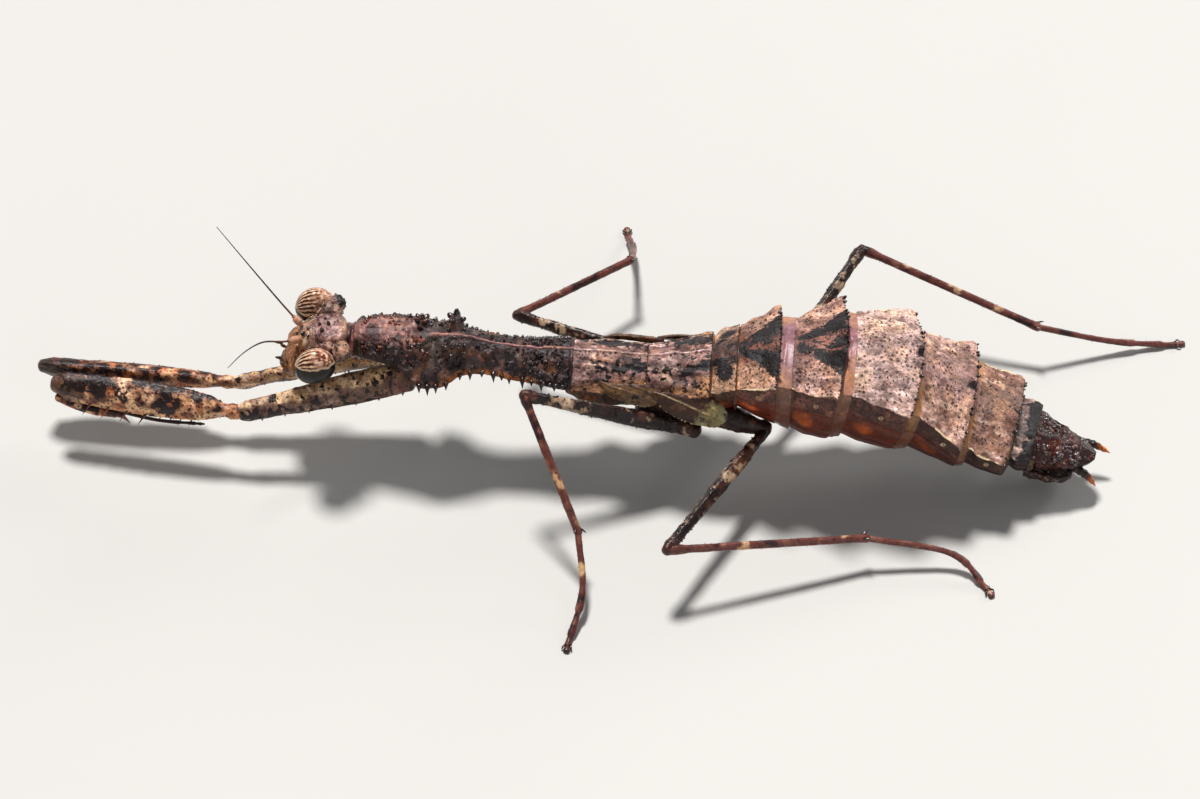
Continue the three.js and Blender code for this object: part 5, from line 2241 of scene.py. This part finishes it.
# ------------------------------------------------------------------ tail, neck and wing pads
@dataclass
class Tail:
    """Last back plate, the plate under it, and the two short tail feelers."""

    upper: Trunk = Trunk(
        (
            (25.4, 4.62, 2.1, 0.75, 0.9, 4),
            (26.8, 4.0, 1.8, 0.7, 0.75, 4),
            (28.0, 3.45, 1.35, 0.55, 0.6, 4),
            (29.0, 3.1, 0.75, 0.35, 0.45, 4),
            (29.4, 2.95, 0.3, 0.15, 0.25, 4),
        )
    )
    lower: Trunk = Trunk(
        (
            (25.4, 2.85, 2.05, 0.15, 1.75, 4),
            (26.8, 2.35, 1.8, 0.15, 1.55, 4),
            (27.7, 2.05, 1.5, 0.15, 1.4, 4),
            (28.2, 1.9, 0.95, 0.15, 1.05, 4),
        )
    )
    core: Trunk = Trunk(
        (
            (25.2, 4.3, 1.95, 0.5, 2.3, 4),
            (26.8, 3.6, 1.65, 0.5, 1.9, 4),
            (27.8, 3.0, 1.15, 0.4, 1.2, 4),
            (28.4, 2.6, 0.6, 0.3, 0.6, 4),
        )
    )
    feelers: tuple[tuple[int, Table], ...] = (
        (-1, ((27.6, -2.3, 2.6), (28.3, -2.62, 2.35), (28.95, -2.75, 1.9), (29.5, -2.85, 1.1))),
        (1, ((27.9, -0.6, 2.5), (28.7, -0.45, 2.3), (29.5, -0.5, 2.1), (30.3, -0.7, 1.75))),
    )
    thickness: Table = ((0, 0.3, 0.28), (0.5, 0.27, 0.25), (0.85, 0.15, 0.15), (1, 0.03, 0.03))

    def build(self, kit: Finishes) -> None:
        """Make the tail's pieces.

        Args:
            kit: The finishes.
        """
        self.plate("tail_plate_skin", self.upper, kit.wet, 101, "tail_plate")
        self.plate("genital_plate_skin", self.lower, kit.wet, 111, "genital_plate")
        self.plate("tail_core_skin", self.core, kit.wet, 121)
        rng = np.random.default_rng(117)
        drops = []
        for _ in range(70):
            x, across = rng.uniform(25.9, 28.9), rng.uniform(-0.9, 0.9)
            size = rng.uniform(0.1, 0.34)
            spot = self.upper.spot(x, across, 0.5, size, size * 0.55)
            drops.append(Spot(spot.place - unit(spot.way) * 0.06, spot.way, size, spot.height))
        dress(studded("tail_bosses", Form.KNOB, drops, sides=10), kit.wet_bead, "lacquer")
        for side, points in self.feelers:
            limb = Limb(points, self.thickness, rows=70, cols=24)
            grid, t, _ = limb.grid(self.rings)
            tint = tint_of((t, "2a1814"), (ease(t, 0.6, 0.85), "c9742f"))
            name = f"cercus_{SIDE_NAME[side]}"
            piece = woven(f"{name}_skin", grid, skin_masks(tint, film=0.4, pits=0.2))
            dress(piece, kit.limb, "bark", name)

    def rings(self, t: Array, angle: Array, points: Array) -> Array:
        """Shape a tail feeler's seven joints."""
        return 0.02 * np.cos(t * 2 * np.pi * 7) + 0.02 * rough(points, 0.3, 7)

    def plate(self, name: str, trunk: Trunk, material: Material, seed: int, *nodes: str) -> None:
        """Make one lumpy wet plate.

        Args:
            name: The piece's name.
            trunk: Its form.
            material: Its finish.
            seed: Picks its lumps.
            nodes: The solids that it stands for.
        """
        a, u = Ring(dorsal=70, ventral=50).columns()
        first, last = trunk.sections[0][0], trunk.sections[-1][0]
        x = np.pad(np.linspace(first, last, 80), 1, "edge")[:, None]
        near = trunk.place(x, a, u)
        t = (x - first) / (last - first) * np.ones_like(a)
        level = 0.2 * rough(near, 0.8, seed) + 0.12 * rough(near, 0.3, seed + 1)
        level += 0.1 * bump(np.abs(a), 0.45, 0.1) * (u > 0) * (1 - t)
        level -= 0.12 * bump(t, 0.42, 0.05) * (u > 0)
        points = closed(trunk.place(x, a, u, level * np.minimum(1, (1.05 - t) * 3)))
        pale = ease(rough(near, 0.8, seed + 3), 0.1, 0.5) * (1 - ease(t, 0.3, 0.9))
        tint = tint_of(
            (t, "330f07"),
            (pale * 0.4, "6a4636"),
            (ease(rough(near, 0.5, seed + 4), 0.1, 0.5), "5a2415"),
            # small pale flecks: painted highlights standing for the sparkles of the wet gloss
            (ease(rough(near, 0.16, seed + 5), 0.36, 0.5) * 0.7, "b9a79c"),
        )
        masks = skin_masks(tint, ink=0.5 * ease(t, 0.2, 0.8), film=0.3, pits=0.5)
        dress(woven(name, points, masks), material, "lacquer", *nodes)


@dataclass
class Neck:
    """The short folded neck between the head and the shield."""

    trunk: Trunk = Trunk(
        (
            (-17.1, 8.8, 0.8, 0.45, 1.1, 0),
            (-16.6, 8.95, 0.95, 0.5, 1.25, 0),
            (-16.1, 9.1, 1.1, 0.55, 1.35, 0),
            (-15.3, 9.2, 1.25, 0.65, 1.4, 0),
        )
    )

    def build(self, kit: Finishes) -> None:
        """Make the neck's skin.

        Args:
            kit: The finishes.
        """
        a, u = Ring(dorsal=60, ventral=44).columns()
        x = np.pad(np.linspace(-17.1, -15.3, 60), 1, "edge")[:, None]
        near = self.trunk.place(x, a, u)
        folds = 0.05 * np.sin(x * 15 + 1.5 * rough(near, 0.8, 121)) + 0.03 * rough(near, 0.25, 122)
        points = closed(self.trunk.place(x, a, u, folds))
        tint = tint_of((folds, "7d5450"), (ease(rough(near, 0.5, 123), 0, 0.4), "40292a"))
        piece = woven("neck_skin", points, skin_masks(tint, ink=0.3, film=0.6, pits=0.3))
        dress(piece, kit.shell, "soot", "neck")


@dataclass(frozen=True)
class WingPad:
    """One small scale-like wing pad with veins and a beaded rim, on either side.

    Each row of line runs: x, distance out from the middle plane and height.
    """

    kind: str
    line: Table
    radii: Table
    seed: int
    hind: bool

    def form(self, side: int) -> Limb:
        """The pad's smooth form."""
        points = [(x, BODY_PLANE + side * out, z + 0.06) for x, out, z in self.line]
        return Limb(points, self.radii, (0.0, -0.53 * side, 0.85), rows=90, cols=76, cap=0.5)

    def relief(self, t: Array, angle: Array, points: Array) -> Array:
        """Shape the veins, the rim and the lumps.

        Args:
            t: Progress along the pad, from 0 to 1.
            angle: Place around it, in radians.
            points: Places on the smooth form.

        Returns:
            Heights above the smooth form.
        """
        rise = np.sin(angle)
        veins = bump(rise + 1.1 * t, 0.75, 0.1) + bump(rise + 1.6 * t, 1.7, 0.08)
        ragged = 0.12 * rough(points, 0.5, self.seed + 8) * ease(np.abs(rise), 0.8, 1.0)
        lumps = 0.05 * rough(points, 0.35, self.seed + 1)
        return 0.05 * veins + lumps + 0.05 * bump(rise, -0.93, 0.06) + ragged

    def paint(self, points: Array, t: Array, angle: Array) -> Masks:
        """Work out the pad's colours and masks.

        Args:
            points: Places on the pad.
            t: Progress along it, from 0 to 1.
            angle: Place around it, in radians.

        Returns:
            The masks, with the colour as tint.
        """
        rise, seed = np.sin(angle), self.seed
        patch = np.full_like(t, 0.6)
        if self.hind:
            patch = ease(t + 0.25 * rough(points, 0.9, seed + 2), 0.62, 0.72)
        vein = bump(rise + 1.1 * t, 0.75, 0.06) * self.hind * ease(0.8 - t, 0, 0.1)
        tint = tint_of(
            (t, "4b3529"),
            (ease(rough(points, 0.5, seed + 5), 0.1, 0.4), "7a5a40"),
            (patch, "9a9470" if self.hind else "947a55"),
            (ease(rough(points, 0.35, seed + 7), 0.1, 0.35) * 0.7, "4e382b"),
            (ease(rise, 0.55, 0.9) * (1 - patch * 0.7), "5b3d33"),
            (vein, "d2bd92"),
        )
        blots = 0.0 if self.hind else 0.75 * ease(rough(points, 0.4, seed + 4), 0.28, 0.45)
        rim = 0.8 * ease(-rise, 0.9, 0.98) * ease(rough(points, 0.5, seed + 6), -0.4, 0.1)
        pits = (1 - 0.7 * patch) * 0.8
        return skin_masks(tint, ink=blots * (rise > -0.85), film=0.15, rim=rim, pits=pits)


FORE_PAD = WingPad(
    "fore",
    ((-0.75, 1.85, 7.55), (0.0, 2.1, 7.35), (1.0, 2.2, 7.2), (2.0, 2.22, 7.1), (2.8, 2.2, 7.05)),
    (
        (0, 0.07, 0.16), (0.3, 0.14, 0.44), (0.65, 0.15, 0.66),
        (0.85, 0.14, 0.62), (0.96, 0.12, 0.44), (1, 0.08, 0.3),
    ),
    131,
    False,
)
HIND_PAD = WingPad(
    "hind",
    ((2.5, 2.25, 7.3), (3.6, 2.6, 7.0), (4.7, 2.78, 6.78), (5.9, 2.92, 6.6), (6.9, 3.0, 6.5)),
    (
        (0, 0.07, 0.2), (0.25, 0.14, 0.62), (0.6, 0.15, 0.86),
        (0.85, 0.14, 0.8), (0.96, 0.12, 0.6), (1, 0.08, 0.4),
    ),
    141,
    True,
)


@dataclass
class WingPads:
    """Four wing pads along the sides of the thorax."""

    kinds: tuple[WingPad, ...] = (FORE_PAD, HIND_PAD)

    def build(self, kit: Finishes) -> None:
        """Make the pads, and the beads along their rims.

        Args:
            kit: The finishes.
        """
        beads, rng = [], np.random.default_rng(136)
        for side, pad in product(SIDES, self.kinds):
            limb = pad.form(side)
            points, t, angle = limb.grid(pad.relief)
            name = f"{pad.kind}_wing_pad_{SIDE_NAME[side]}"
            piece = woven(f"{name}_skin", points, pad.paint(points, t, angle))
            dress(piece, kit.limb, "bark", name)
            for i in range(20):
                share = 0.1 + 0.043 * i + rng.uniform(-0.01, 0.01)
                bead = limb.grain(share, LOWER, 0.0, rng.uniform(0.06, 0.15), 0.6)
                if rng.uniform() < 0.75:
                    beads.append(bead)
        dress(studded("pad_rim_beads", Form.BEAD, beads), kit.pale, "peach")


# ------------------------------------------------------------------ head
EYE_MIDDLE = np.array([-18.125, -0.65, 8.6])
ACROSS = unit(np.array([-0.137, 0.9906, 0.0]))
DOWN = unit(np.array([-0.693, -0.148, -0.705]) - ACROSS * np.dot([-0.693, -0.148, -0.705], ACROSS))
FRONT = np.cross(ACROSS, DOWN)


def head_place(points: Table) -> Array:
    """Turn places given as across, down the face and out of the face into the model's frame."""
    return EYE_MIDDLE + np.asarray(points, float) @ np.stack([ACROSS, DOWN, FRONT])


def head_share(points: Array) -> Array:
    """Turn places in the model's frame into across, down the face and out of the face."""
    return (points - EYE_MIDDLE) @ np.stack([ACROSS, DOWN, FRONT]).T


@dataclass(frozen=True)
class Lump:
    """A swollen box or ball that is melted into a moulded form, in head measures.

    square is 1 for a ball and nearer 0.4 for a rounded box; tip turns it about the line
    through both eyes, in degrees.
    """

    middle: tuple[float, float, float]
    radii: tuple[float, float, float]
    square: float = 1.0
    tip: float = 0.0

    def add(self) -> Piece:
        """Make the lump as a ball, reshaped.

        Returns:
            The piece.
        """
        clear_selection()
        bpy.ops.mesh.primitive_uv_sphere_add(segments=40, ring_count=28, radius=1)
        piece = bpy.context.object
        ball = read_points(piece)
        ball = np.sign(ball) * np.abs(ball) ** self.square * np.array(self.radii)
        c, s = math.cos(math.radians(self.tip)), math.sin(math.radians(self.tip))
        turned_ball = ball @ np.array([[1, 0, 0], [0, c, s], [0, -s, c]])
        write_points(piece, head_place(turned_ball + np.array(self.middle)))
        return piece


def moulded(name: str, lumps: Sequence[Lump], grain: float, melt: int) -> Piece:
    """Join lumps into one closed skin and melt their seams.

    Args:
        name: Name of the new piece.
        lumps: The lumps.
        grain: Size of the skin's faces in millimetres.
        melt: How many times the skin is smoothed.

    Returns:
        The new piece.
    """
    pieces = [lump.add() for lump in lumps]
    clear_selection()
    for piece in pieces:
        piece.select_set(True)
    bpy.context.view_layer.objects.active = pieces[0]
    bpy.ops.object.join()
    piece = bpy.context.object
    piece.name = piece.data.name = name
    remesh = piece.modifiers.new("one_skin", "REMESH")
    remesh.mode = "VOXEL"
    remesh.voxel_size = grain * MM
    bpy.ops.object.modifier_apply(modifier=remesh.name)
    smooth = piece.modifiers.new("melt", "SMOOTH")
    smooth.factor = 0.5
    smooth.iterations = melt
    bpy.ops.object.modifier_apply(modifier=smooth.name)
    return piece


def reshaped(
    piece: Piece,
    relief: Callable[[Array], Array],
    paint: Callable[[Array], Masks],
) -> None:
    """Raise a moulded skin by a relief and store its colours.

    Args:
        piece: The skin.
        relief: Gives the height in millimetres at places in head measures.
        paint: Gives colours and masks from places in head measures.
    """
    places, normals = read_points(piece) / MM, read_points(piece, "normal")
    inner = head_share(places)
    write_points(piece, places + normals * relief(inner)[:, None])
    add_masks(piece, paint(inner))
    close_skin(piece)


@dataclass
class Head:
    """Skull with crown plate, brow bulges, eyes, simple eyes, mouthparts and feelers."""

    eye_radii: tuple[float, float, float] = (1.0, 1.32, 1.2)
    eye_middles: Mapping[int, Point] = field(
        default_factory=lambda: {-1: (-2.3, 0.12, 0.0), 1: (2.3, -0.12, 0.0)}
    )
    skull: tuple[Lump, ...] = (
        Lump((0.0, 0.1, -0.72), (1.95, 1.65, 1.15), 0.85),
        Lump((-0.12, -1.0, -0.42), (1.15, 1.0, 0.62), 0.55, tip=44),
        Lump((0.0, -0.75, -0.85), (1.9, 0.75, 0.62), 0.8, tip=40),
        Lump((-1.75, -1.45, -0.7), (0.58, 0.6, 0.52)),
        Lump((1.98, -1.38, -0.6), (0.52, 0.56, 0.5)),
        Lump((1.5, -1.2, -0.6), (0.6, 0.5, 0.5)),
        Lump((-1.5, -0.75, -0.2), (0.5, 0.6, 0.5)),
        Lump((1.45, -0.9, -0.2), (0.5, 0.6, 0.5)),
        Lump((0.0, 0.2, 0.05), (0.75, 0.75, 0.62), 0.7, tip=15),
        Lump((-0.6, 0.45, 0.42), (0.34, 0.34, 0.34)),
        Lump((0.6, 0.45, 0.42), (0.34, 0.34, 0.34)),
        Lump((0.0, 1.25, 0.1), (1.15, 0.8, 0.55), 0.7, tip=-14),
        Lump((-0.95, 1.45, -0.25), (0.75, 0.95, 0.62), 0.8),
        Lump((0.95, 1.45, -0.25), (0.75, 0.95, 0.62), 0.8),
        Lump((0.0, 1.85, -0.1), (0.85, 0.6, 0.5), 0.7, tip=-10),
        Lump((0.0, 0.6, -1.3), (1.25, 1.3, 0.6)),
    )
    mouth: tuple[Lump, ...] = (
        Lump((0.0, 2.3, -0.05), (0.62, 0.36, 0.3), 0.7),
        Lump((0.0, 2.75, -0.15), (0.5, 0.45, 0.26), 0.75),
        Lump((-0.5, 2.5, -0.35), (0.34, 0.6, 0.4), 0.8),
        Lump((0.5, 2.5, -0.35), (0.34, 0.6, 0.4), 0.8),
        Lump((0.0, 2.4, -0.75), (0.7, 0.65, 0.35)),
        Lump((0.0, 2.95, -0.55), (0.35, 0.3, 0.3)),
    )
    palp_line: Table = (
        (0.5, 2.2, -0.4), (0.85, 2.6, -0.1), (0.8, 2.6, 0.3), (0.65, 2.35, 0.62), (0.6, 2.5, 0.95),
    )
    palp_radii: Table = (
        (0, 0.11, 0.11), (0.3, 0.08, 0.08), (0.36, 0.11, 0.11), (0.6, 0.08, 0.08),
        (0.66, 0.11, 0.11), (0.9, 0.09, 0.09), (1, 0.04, 0.04),
    )
    feeler_lines: tuple[tuple[int, Table], ...] = (
        (-1, (
            (-18.95, -1.3, 8.95), (-19.9, -1.9, 9.35), (-21.0, -2.5, 9.9),
            (-22.0, -3.4, 9.95), (-22.9, -4.4, 9.6),
        )),
        (1, ((-19.05, -0.15, 9.1), (-20.0, 0.35, 9.95), (-21.9, 1.4, 11.9), (-24.2, 2.9, 14.0))),
    )
    feeler_radii: Table = (
        (0, 0.2, 0.2), (0.03, 0.25, 0.25), (0.1, 0.24, 0.24), (0.135, 0.18, 0.18),
        (0.145, 0.09, 0.09), (0.155, 0.14, 0.14), (0.175, 0.11, 0.11), (0.19, 0.065, 0.065),
        (0.5, 0.05, 0.05), (1, 0.02, 0.02),
    )
    seed: int = 151

    def build(self, kit: Finishes) -> None:
        """Make the head's pieces.

        Args:
            kit: The finishes.
        """
        skull = moulded("head_skin", self.skull, 0.045, 7)
        reshaped(skull, self.relief, self.paint)
        dress(skull, kit.face, "bark", "head")
        for side in SIDES:
            self.eye(side, kit)
        self.beads(skull, kit)
        jaws = moulded("mouth_skin", self.mouth, 0.035, 4)
        reshaped(jaws, lambda p: 0.03 * rough(p, 0.3, self.seed + 5), self.paint_mouth)
        dress(jaws, kit.face, "bark", "mouthparts")
        self.palps(kit)
        self.feelers(kit)

    def eye_gap(self, p: Array, side: int) -> Array:
        """Distance from an eye's middle, as a share of its size."""
        return np.linalg.norm((p - self.eye_middles[side]) / np.array(self.eye_radii), axis=-1)

    def brow(self, side: int) -> Array:
        """Middle of a brow bulge."""
        return np.array([side * 1.9, -1.42, -0.62])

    def relief(self, p: Array) -> Array:
        """Height of the skull's relief.

        Args:
            p: Places in head measures.

        Returns:
            Heights above the smooth skull.
        """
        s, d, n = p.T
        total = 0.07 * rough(p, 0.5, self.seed) + 0.05 * rough(p, 0.22, self.seed + 1)
        notches = 1 + 0.5 * np.sin(np.arctan2(d, n + 0.3) * 26)
        for side in SIDES:
            total += 0.11 * bump(self.eye_gap(p, side), 1.13, 0.06) * notches
            brow = np.linalg.norm((p - self.brow(side)) / 0.7, axis=-1)
            total += 0.105 * rough(p, 0.26, self.seed + 2) * (brow < 1)
        front, wide, socket = n > 0, np.abs(s), np.hypot(s + 0.1, d - 0.18)
        total -= 0.1 * self.crown_line(p)
        total += 0.06 * (1 - ease(self.crown_ring(p), 0.75, 1.0)) * (n > -1.1)
        total += (0.1 * bump(socket, 0.1, 0.1) - 0.12 * bump(socket, 0.24, 0.07)) * front
        total += 0.09 * bump(s, 0, 0.09) * ease(d, 0.5, 0.7) * (1 - ease(d, 1.5, 1.8)) * front
        total -= 0.1 * bump(d, 0.82 + 0.12 * s * s, 0.06) * front * ease(1.2 - wide, 0, 0.3)
        return total - 0.1 * bump(d, 1.72, 0.05) * front * ease(1.0 - wide, 0, 0.3)

    def crown_line(self, p: Array) -> Array:
        """The pale groove round the front and sides of the crown plate."""
        _, d, n = p.T
        return bump(self.crown_ring(p), 1.0, 0.07) * ease(d, -1.6, -1.2) * (n > -1.1) * (d < 0.3)

    def crown_ring(self, p: Array) -> Array:
        """How far a place is from the middle of the crown plate: 1 on its edge.

        Args:
            p: Places in head measures.

        Returns:
            One distance for each place.
        """
        s, d, _ = p.T
        wide = np.abs(s + 0.15) / (1.1 - 0.12 * (d + 1.15))
        return (wide**3.6 + np.abs((d + 1.15) / 0.66) ** 3.6) ** (1 / 3.6)

    def paint(self, p: Array) -> Masks:
        """Work out the skull's colours and masks.

        Args:
            p: Places in head measures.

        Returns:
            The masks, with the colour as tint.
        """
        s, d, n = p.T
        cloud, fine = rough(p, 0.8, self.seed + 6), rough(p, 0.3, self.seed + 7)
        crown = 1 - ease(self.crown_ring(p) + 0.08 * fine, 0.95, 1.05)
        face = ease(d + 0.15 * fine, 0.3, 0.6) * ease(n + 0.4 * fine, -0.7, -0.3)
        # The back and underside of the head, toward the neck, is painted dark: painted shade.
        under = ease(-n + 0.2 * fine, 0.9, 1.2)
        tint = tint_of(
            (s, "8a6f64"),
            (ease(cloud, 0.0, 0.4), "6a4c42"),
            (ease(-cloud - 0.5 * fine, 0.1, 0.4) * 0.8, "c09d88"),
            (crown, "98746e"),
            (crown * ease(fine + cloud, 0.0, 0.5), "553b39"),
            (crown * ease(-fine - cloud, 0.15, 0.5), "c4a69f"),
            (face, "a8713e"),
            (face * ease(cloud + fine, 0.05, 0.4), "7c6633"),
            (face * bump(d, 0.8, 0.2) * bump(s, 0, 0.8), "c99a78"),
            (under, "3c2620"),
        )
        socket = np.hypot(s + 0.1, d - 0.18)
        rim = (0.45 + 0.3 * cloud) * self.crown_line(p) + 0.8 * bump(socket, 0.24, 0.05) * (n > 0)
        # under * 0.3 darkens the back and underside further: painted shade.
        dark = 1.0 * (socket < 0.14) * (n > 0) + 0.6 * bump(d, 1.72, 0.05) * (n > 0) + under * 0.3
        dark += 0.45 * face * ease(rough(p, 0.5, self.seed + 9), 0.25, 0.5)
        teeth = ease(np.sin(np.arctan2(d, n + 0.3) * 26), 0.2, 0.7)
        for side in SIDES:
            far = self.eye_gap(p, side)
            rim += bump(far, 1.14, 0.05) * (0.5 + 0.4 * cloud) * (d > -1.2)
            rim += (side > 0) * 0.8 * bump(far, 1.36, 0.035) * (d < 0.3) * (d > -0.9)
            rim += 0.45 * bump(np.linalg.norm(p - [side * 0.6, 0.45, 0.42], axis=-1), 0.3, 0.12)
            dark += bump(far, 1.28, 0.06) * teeth * (d > -1.2) * (n > -0.4)
            brow = np.linalg.norm((p - self.brow(side)) / 0.62, axis=-1) < 1
            dark += brow * (0.45 * ease(fine, 0.1, 0.4) + 0.7 * ease(-d, 1.55, 1.85) * (side > 0))
        ink, rim = np.clip(dark, 0, 1), np.clip(rim, 0, 1)
        return skin_masks(tint, ink=ink, film=0.4, rim=rim, pits=0.3 + 0.5 * face)

    def paint_mouth(self, p: Array) -> Masks:
        """Work out the mouthparts' colours and masks.

        Args:
            p: Places in head measures.

        Returns:
            The masks, with the colour as tint.
        """
        d = p[:, 1]
        worn = ease(rough(p, 0.4, 3), 0, 0.4)
        tint = tint_of((d, "8a5c34"), (worn, "5a3a26"), (ease(d, 2.6, 3.0), "33201a"))
        return skin_masks(tint, ink=0.3, film=0.5, pits=0.3)

    def eye(self, side: int, kit: Finishes) -> None:
        """Make one eye: an egg, a little flattened where it meets the skull.

        Args:
            side: -1 on the left and 1 on the right.
            kit: The finishes.
        """
        clear_selection()
        bpy.ops.mesh.primitive_uv_sphere_add(segments=160, ring_count=96, radius=1)
        piece = bpy.context.object
        name = f"eye_{SIDE_NAME[side]}"
        piece.name = piece.data.name = f"{name}_glass"
        down, front, out = read_points(piece).T
        taper = 1 - 0.1 * down - 0.08 * np.maximum(-out, 0)
        q = np.stack([out * side, down, front * taper], axis=1) * np.array(self.eye_radii)
        q[:, 0] *= np.where(out > 0, 1.0, 0.85)
        write_points(piece, head_place(q + self.eye_middles[side]))
        up = 0.71 * (front - down)
        masks = {"low": 0.21 * out - up, "front": 0.71 * (down + front)}
        add_masks(piece, {**masks, "turn": np.arctan2(up, out)})
        close_skin(piece)
        dress(piece, kit.eye, "eye", name)

    def beads(self, skull: Piece, kit: Finishes) -> None:
        """Add the crown's beads, the simple eyes and the beads of the brow bulges.

        Args:
            skull: The finished skull.
            kit: The finishes.
        """
        spots = []
        places, normals = read_points(skull) / MM, read_points(skull, "normal")
        inner = head_share(places)

        def put(s: float, d: float, n: float, size: float, height: float) -> None:
            """Stand a bead on the skull, next to a place in head measures.

            Args:
                s: Place across.
                d: Place down the face.
                n: Place forwards.
                size: The bead's width.
                height: Its height, before a stretch by a fifth.
            """
            near = int(np.argmin(np.linalg.norm(inner - [s, d, n], axis=1)))
            foot = places[near] - normals[near] * 0.02
            spots.append(Spot(foot, normals[near], size, height * 1.2))

        for s, d, size in (
            (-0.53, -1.05, 0.3), (0.0, -0.95, 0.24), (-0.04, -1.3, 0.26),
            (0.4, -1.2, 0.2), (-0.75, -0.7, 0.16),
        ):
            put(s, d, 0.9 * (d + 1.2) + 0.2, size, size * 0.8)
        put(-0.1, 0.18, 0.9, 0.26, 0.14)
        for side in SIDES:
            put(-0.1 + side * 0.38, -0.1, 0.8, 0.2, 0.11)
        rng = np.random.default_rng(self.seed)
        for side in SIDES:
            for _ in range(34):
                place = self.brow(side) + unit(rng.normal(0, 1, 3)) * 0.6
                put(*place, rng.uniform(0.06, 0.13), 0.07)
        for _ in range(60):
            put(rng.uniform(-1.5, 1.5), rng.uniform(-1.8, 0.2), 0.6, rng.uniform(0.04, 0.08), 0.05)
        for i in range(9):
            put(-1.3 + 0.02 * i, -0.9 + 0.13 * i, 0.6, 0.09, 0.07)
        dress(studded("head_beads", Form.BEAD, spots), kit.bead, "soot")

    def palps(self, kit: Finishes) -> None:
        """Make the jointed feelers of the mouth.

        Args:
            kit: The finishes.
        """
        for side in SIDES:
            points = head_place([(side * s, d, n) for s, d, n in self.palp_line])
            limb = Limb(points, self.palp_radii, rows=60, cols=18)
            grid, t, _ = limb.grid(lambda t, angle, p: 0.01 * rough(p, 0.2, 5))
            tint = tint_of(
                (t, "7a5534"), (ease(t, 0.74, 0.84), "1b100d"), (bump(t, 0.63, 0.04), "b89a70")
            )
            piece = woven(f"palp_{SIDE_NAME[side]}", grid, skin_masks(tint, film=0.5))
            dress(piece, kit.limb, "bark")

    def feeler_relief(self, t: Array, angle: Array, points: Array) -> Array:
        """Shape the fine rings beyond a feeler's thick base."""
        return 0.02 * np.maximum(np.sin(t * 300), -0.2) * (t > 0.17)

    def feelers(self, kit: Finishes) -> None:
        """Make the two long feelers on their sockets.

        Args:
            kit: The finishes.
        """
        for side, points in self.feeler_lines:
            limb = Limb(points, self.feeler_radii, rows=300, cols=16)
            grid, t, _ = limb.grid(self.feeler_relief)
            tint = tint_of(
                (t, "c79c80"), (ease(t, 0.14, 0.19), "6a4a36"), (ease(t, 0.2, 0.6), "3a2a22")
            )
            name = f"antenna_{SIDE_NAME[side]}"
            masks = skin_masks(tint, ink=0.4 * ease(np.sin(t * 60), 0.5, 1), film=0.4)
            dress(woven(f"{name}_skin", grid, masks), kit.limb, "bark", name)


# ------------------------------------------------------------------ studio
@dataclass(frozen=True)
class Studio:
    """Pale floor, soft lights and the camera. Places are metres."""

    target: tuple[float, float, float] = (-0.00087, -0.0005, 0.0039)
    distance: float = 0.3
    azimuth: float = 4.1
    elevation: float = 50.0
    lens: float = 147.6

    def build(self) -> None:
        """Make the floor, the world, the lights and the camera."""
        clear_selection()
        bpy.ops.mesh.primitive_plane_add(size=4.0)
        floor = bpy.context.object
        floor.name = "floor"
        material, s, shader = new_material("pale_floor", Roughness=0.85, Specular_IOR_Level=0.2)
        cloud = s.noise(s.place(), 60.0, 2)
        s.feed(shader.inputs["Base Color"], s.blend(cloud, colour("c2bfba"), colour("c8c5c0")))
        floor.data.materials.append(material)
        world = bpy.data.worlds.new("studio")
        world.use_nodes = True
        background = world.node_tree.nodes["Background"]
        background.inputs["Color"].default_value = colour("dfe3ea")
        background.inputs["Strength"].default_value = 0.24
        bpy.context.scene.world = world
        bpy.context.scene.view_settings.view_transform = "Standard"
        self.lamp("key", "SUN", (-0.05, 0.13, 0.33), 4.4).angle = math.radians(10.0)
        self.lamp("fill", "AREA", (0.2, -0.34, 0.22), 0.3).size = 0.3
        self.lamp("rim", "AREA", (0.26, 0.24, 0.16), 0.4).size = 0.12
        self.aim()

    def lamp(self, name: str, kind: str, place: Point, power: float) -> bpy.types.Light:
        """Add a light that shines from place to the animal, and give its settings.

        Args:
            name: The light's name.
            kind: AREA or SUN.
            place: Where it stands.
            power: Its strength.

        Returns:
            The light's settings.
        """
        bpy.ops.object.light_add(type=kind, location=place)
        lamp = bpy.context.object
        lamp.name = lamp.data.name = name
        lamp.data.energy = power
        way = Vector(self.target) - Vector(place)
        lamp.rotation_euler = way.to_track_quat("-Z", "Y").to_euler()
        return lamp.data

    def aim(self) -> None:
        """Add the camera."""
        a, e = math.radians(self.azimuth), math.radians(self.elevation)
        back = Vector((math.sin(a) * math.cos(e), -math.cos(a) * math.cos(e), math.sin(e)))
        bpy.ops.object.camera_add(location=Vector(self.target) + back * self.distance)
        camera = bpy.context.object
        camera.rotation_euler = (-back).to_track_quat("-Z", "Y").to_euler()
        camera.data.lens = self.lens
        camera.data.sensor_width = 36.0
        camera.data.clip_start, camera.data.clip_end = 0.01, 20.0
        bpy.context.scene.camera = camera


GRASPERS = (
    GraspingLeg(-1, (-12.5, -1.75, 6.55), (-22.5, -3.35, 4.2), (-34.0, -2.2, 4.5), 161),
    GraspingLeg(1, (-12.7, 0.7, 6.3), (-23.1, -0.75, 3.9), (-35.0, -0.6, 4.35), 171),
)


def main() -> None:
    """Build every sub-assembly in order."""
    logging.basicConfig(level=logging.INFO, format="%(name)s: %(message)s")
    Studio().build()
    kit = Finishes()
    trunk = (Abdomen(), Thorax(), Shield(), Neck(), WingPads(), Tail())
    for part in (*trunk, *map(WalkingLeg, LEGS), *GRASPERS, Head()):
        part.build(kit)


if __name__ == "__main__":
    main()
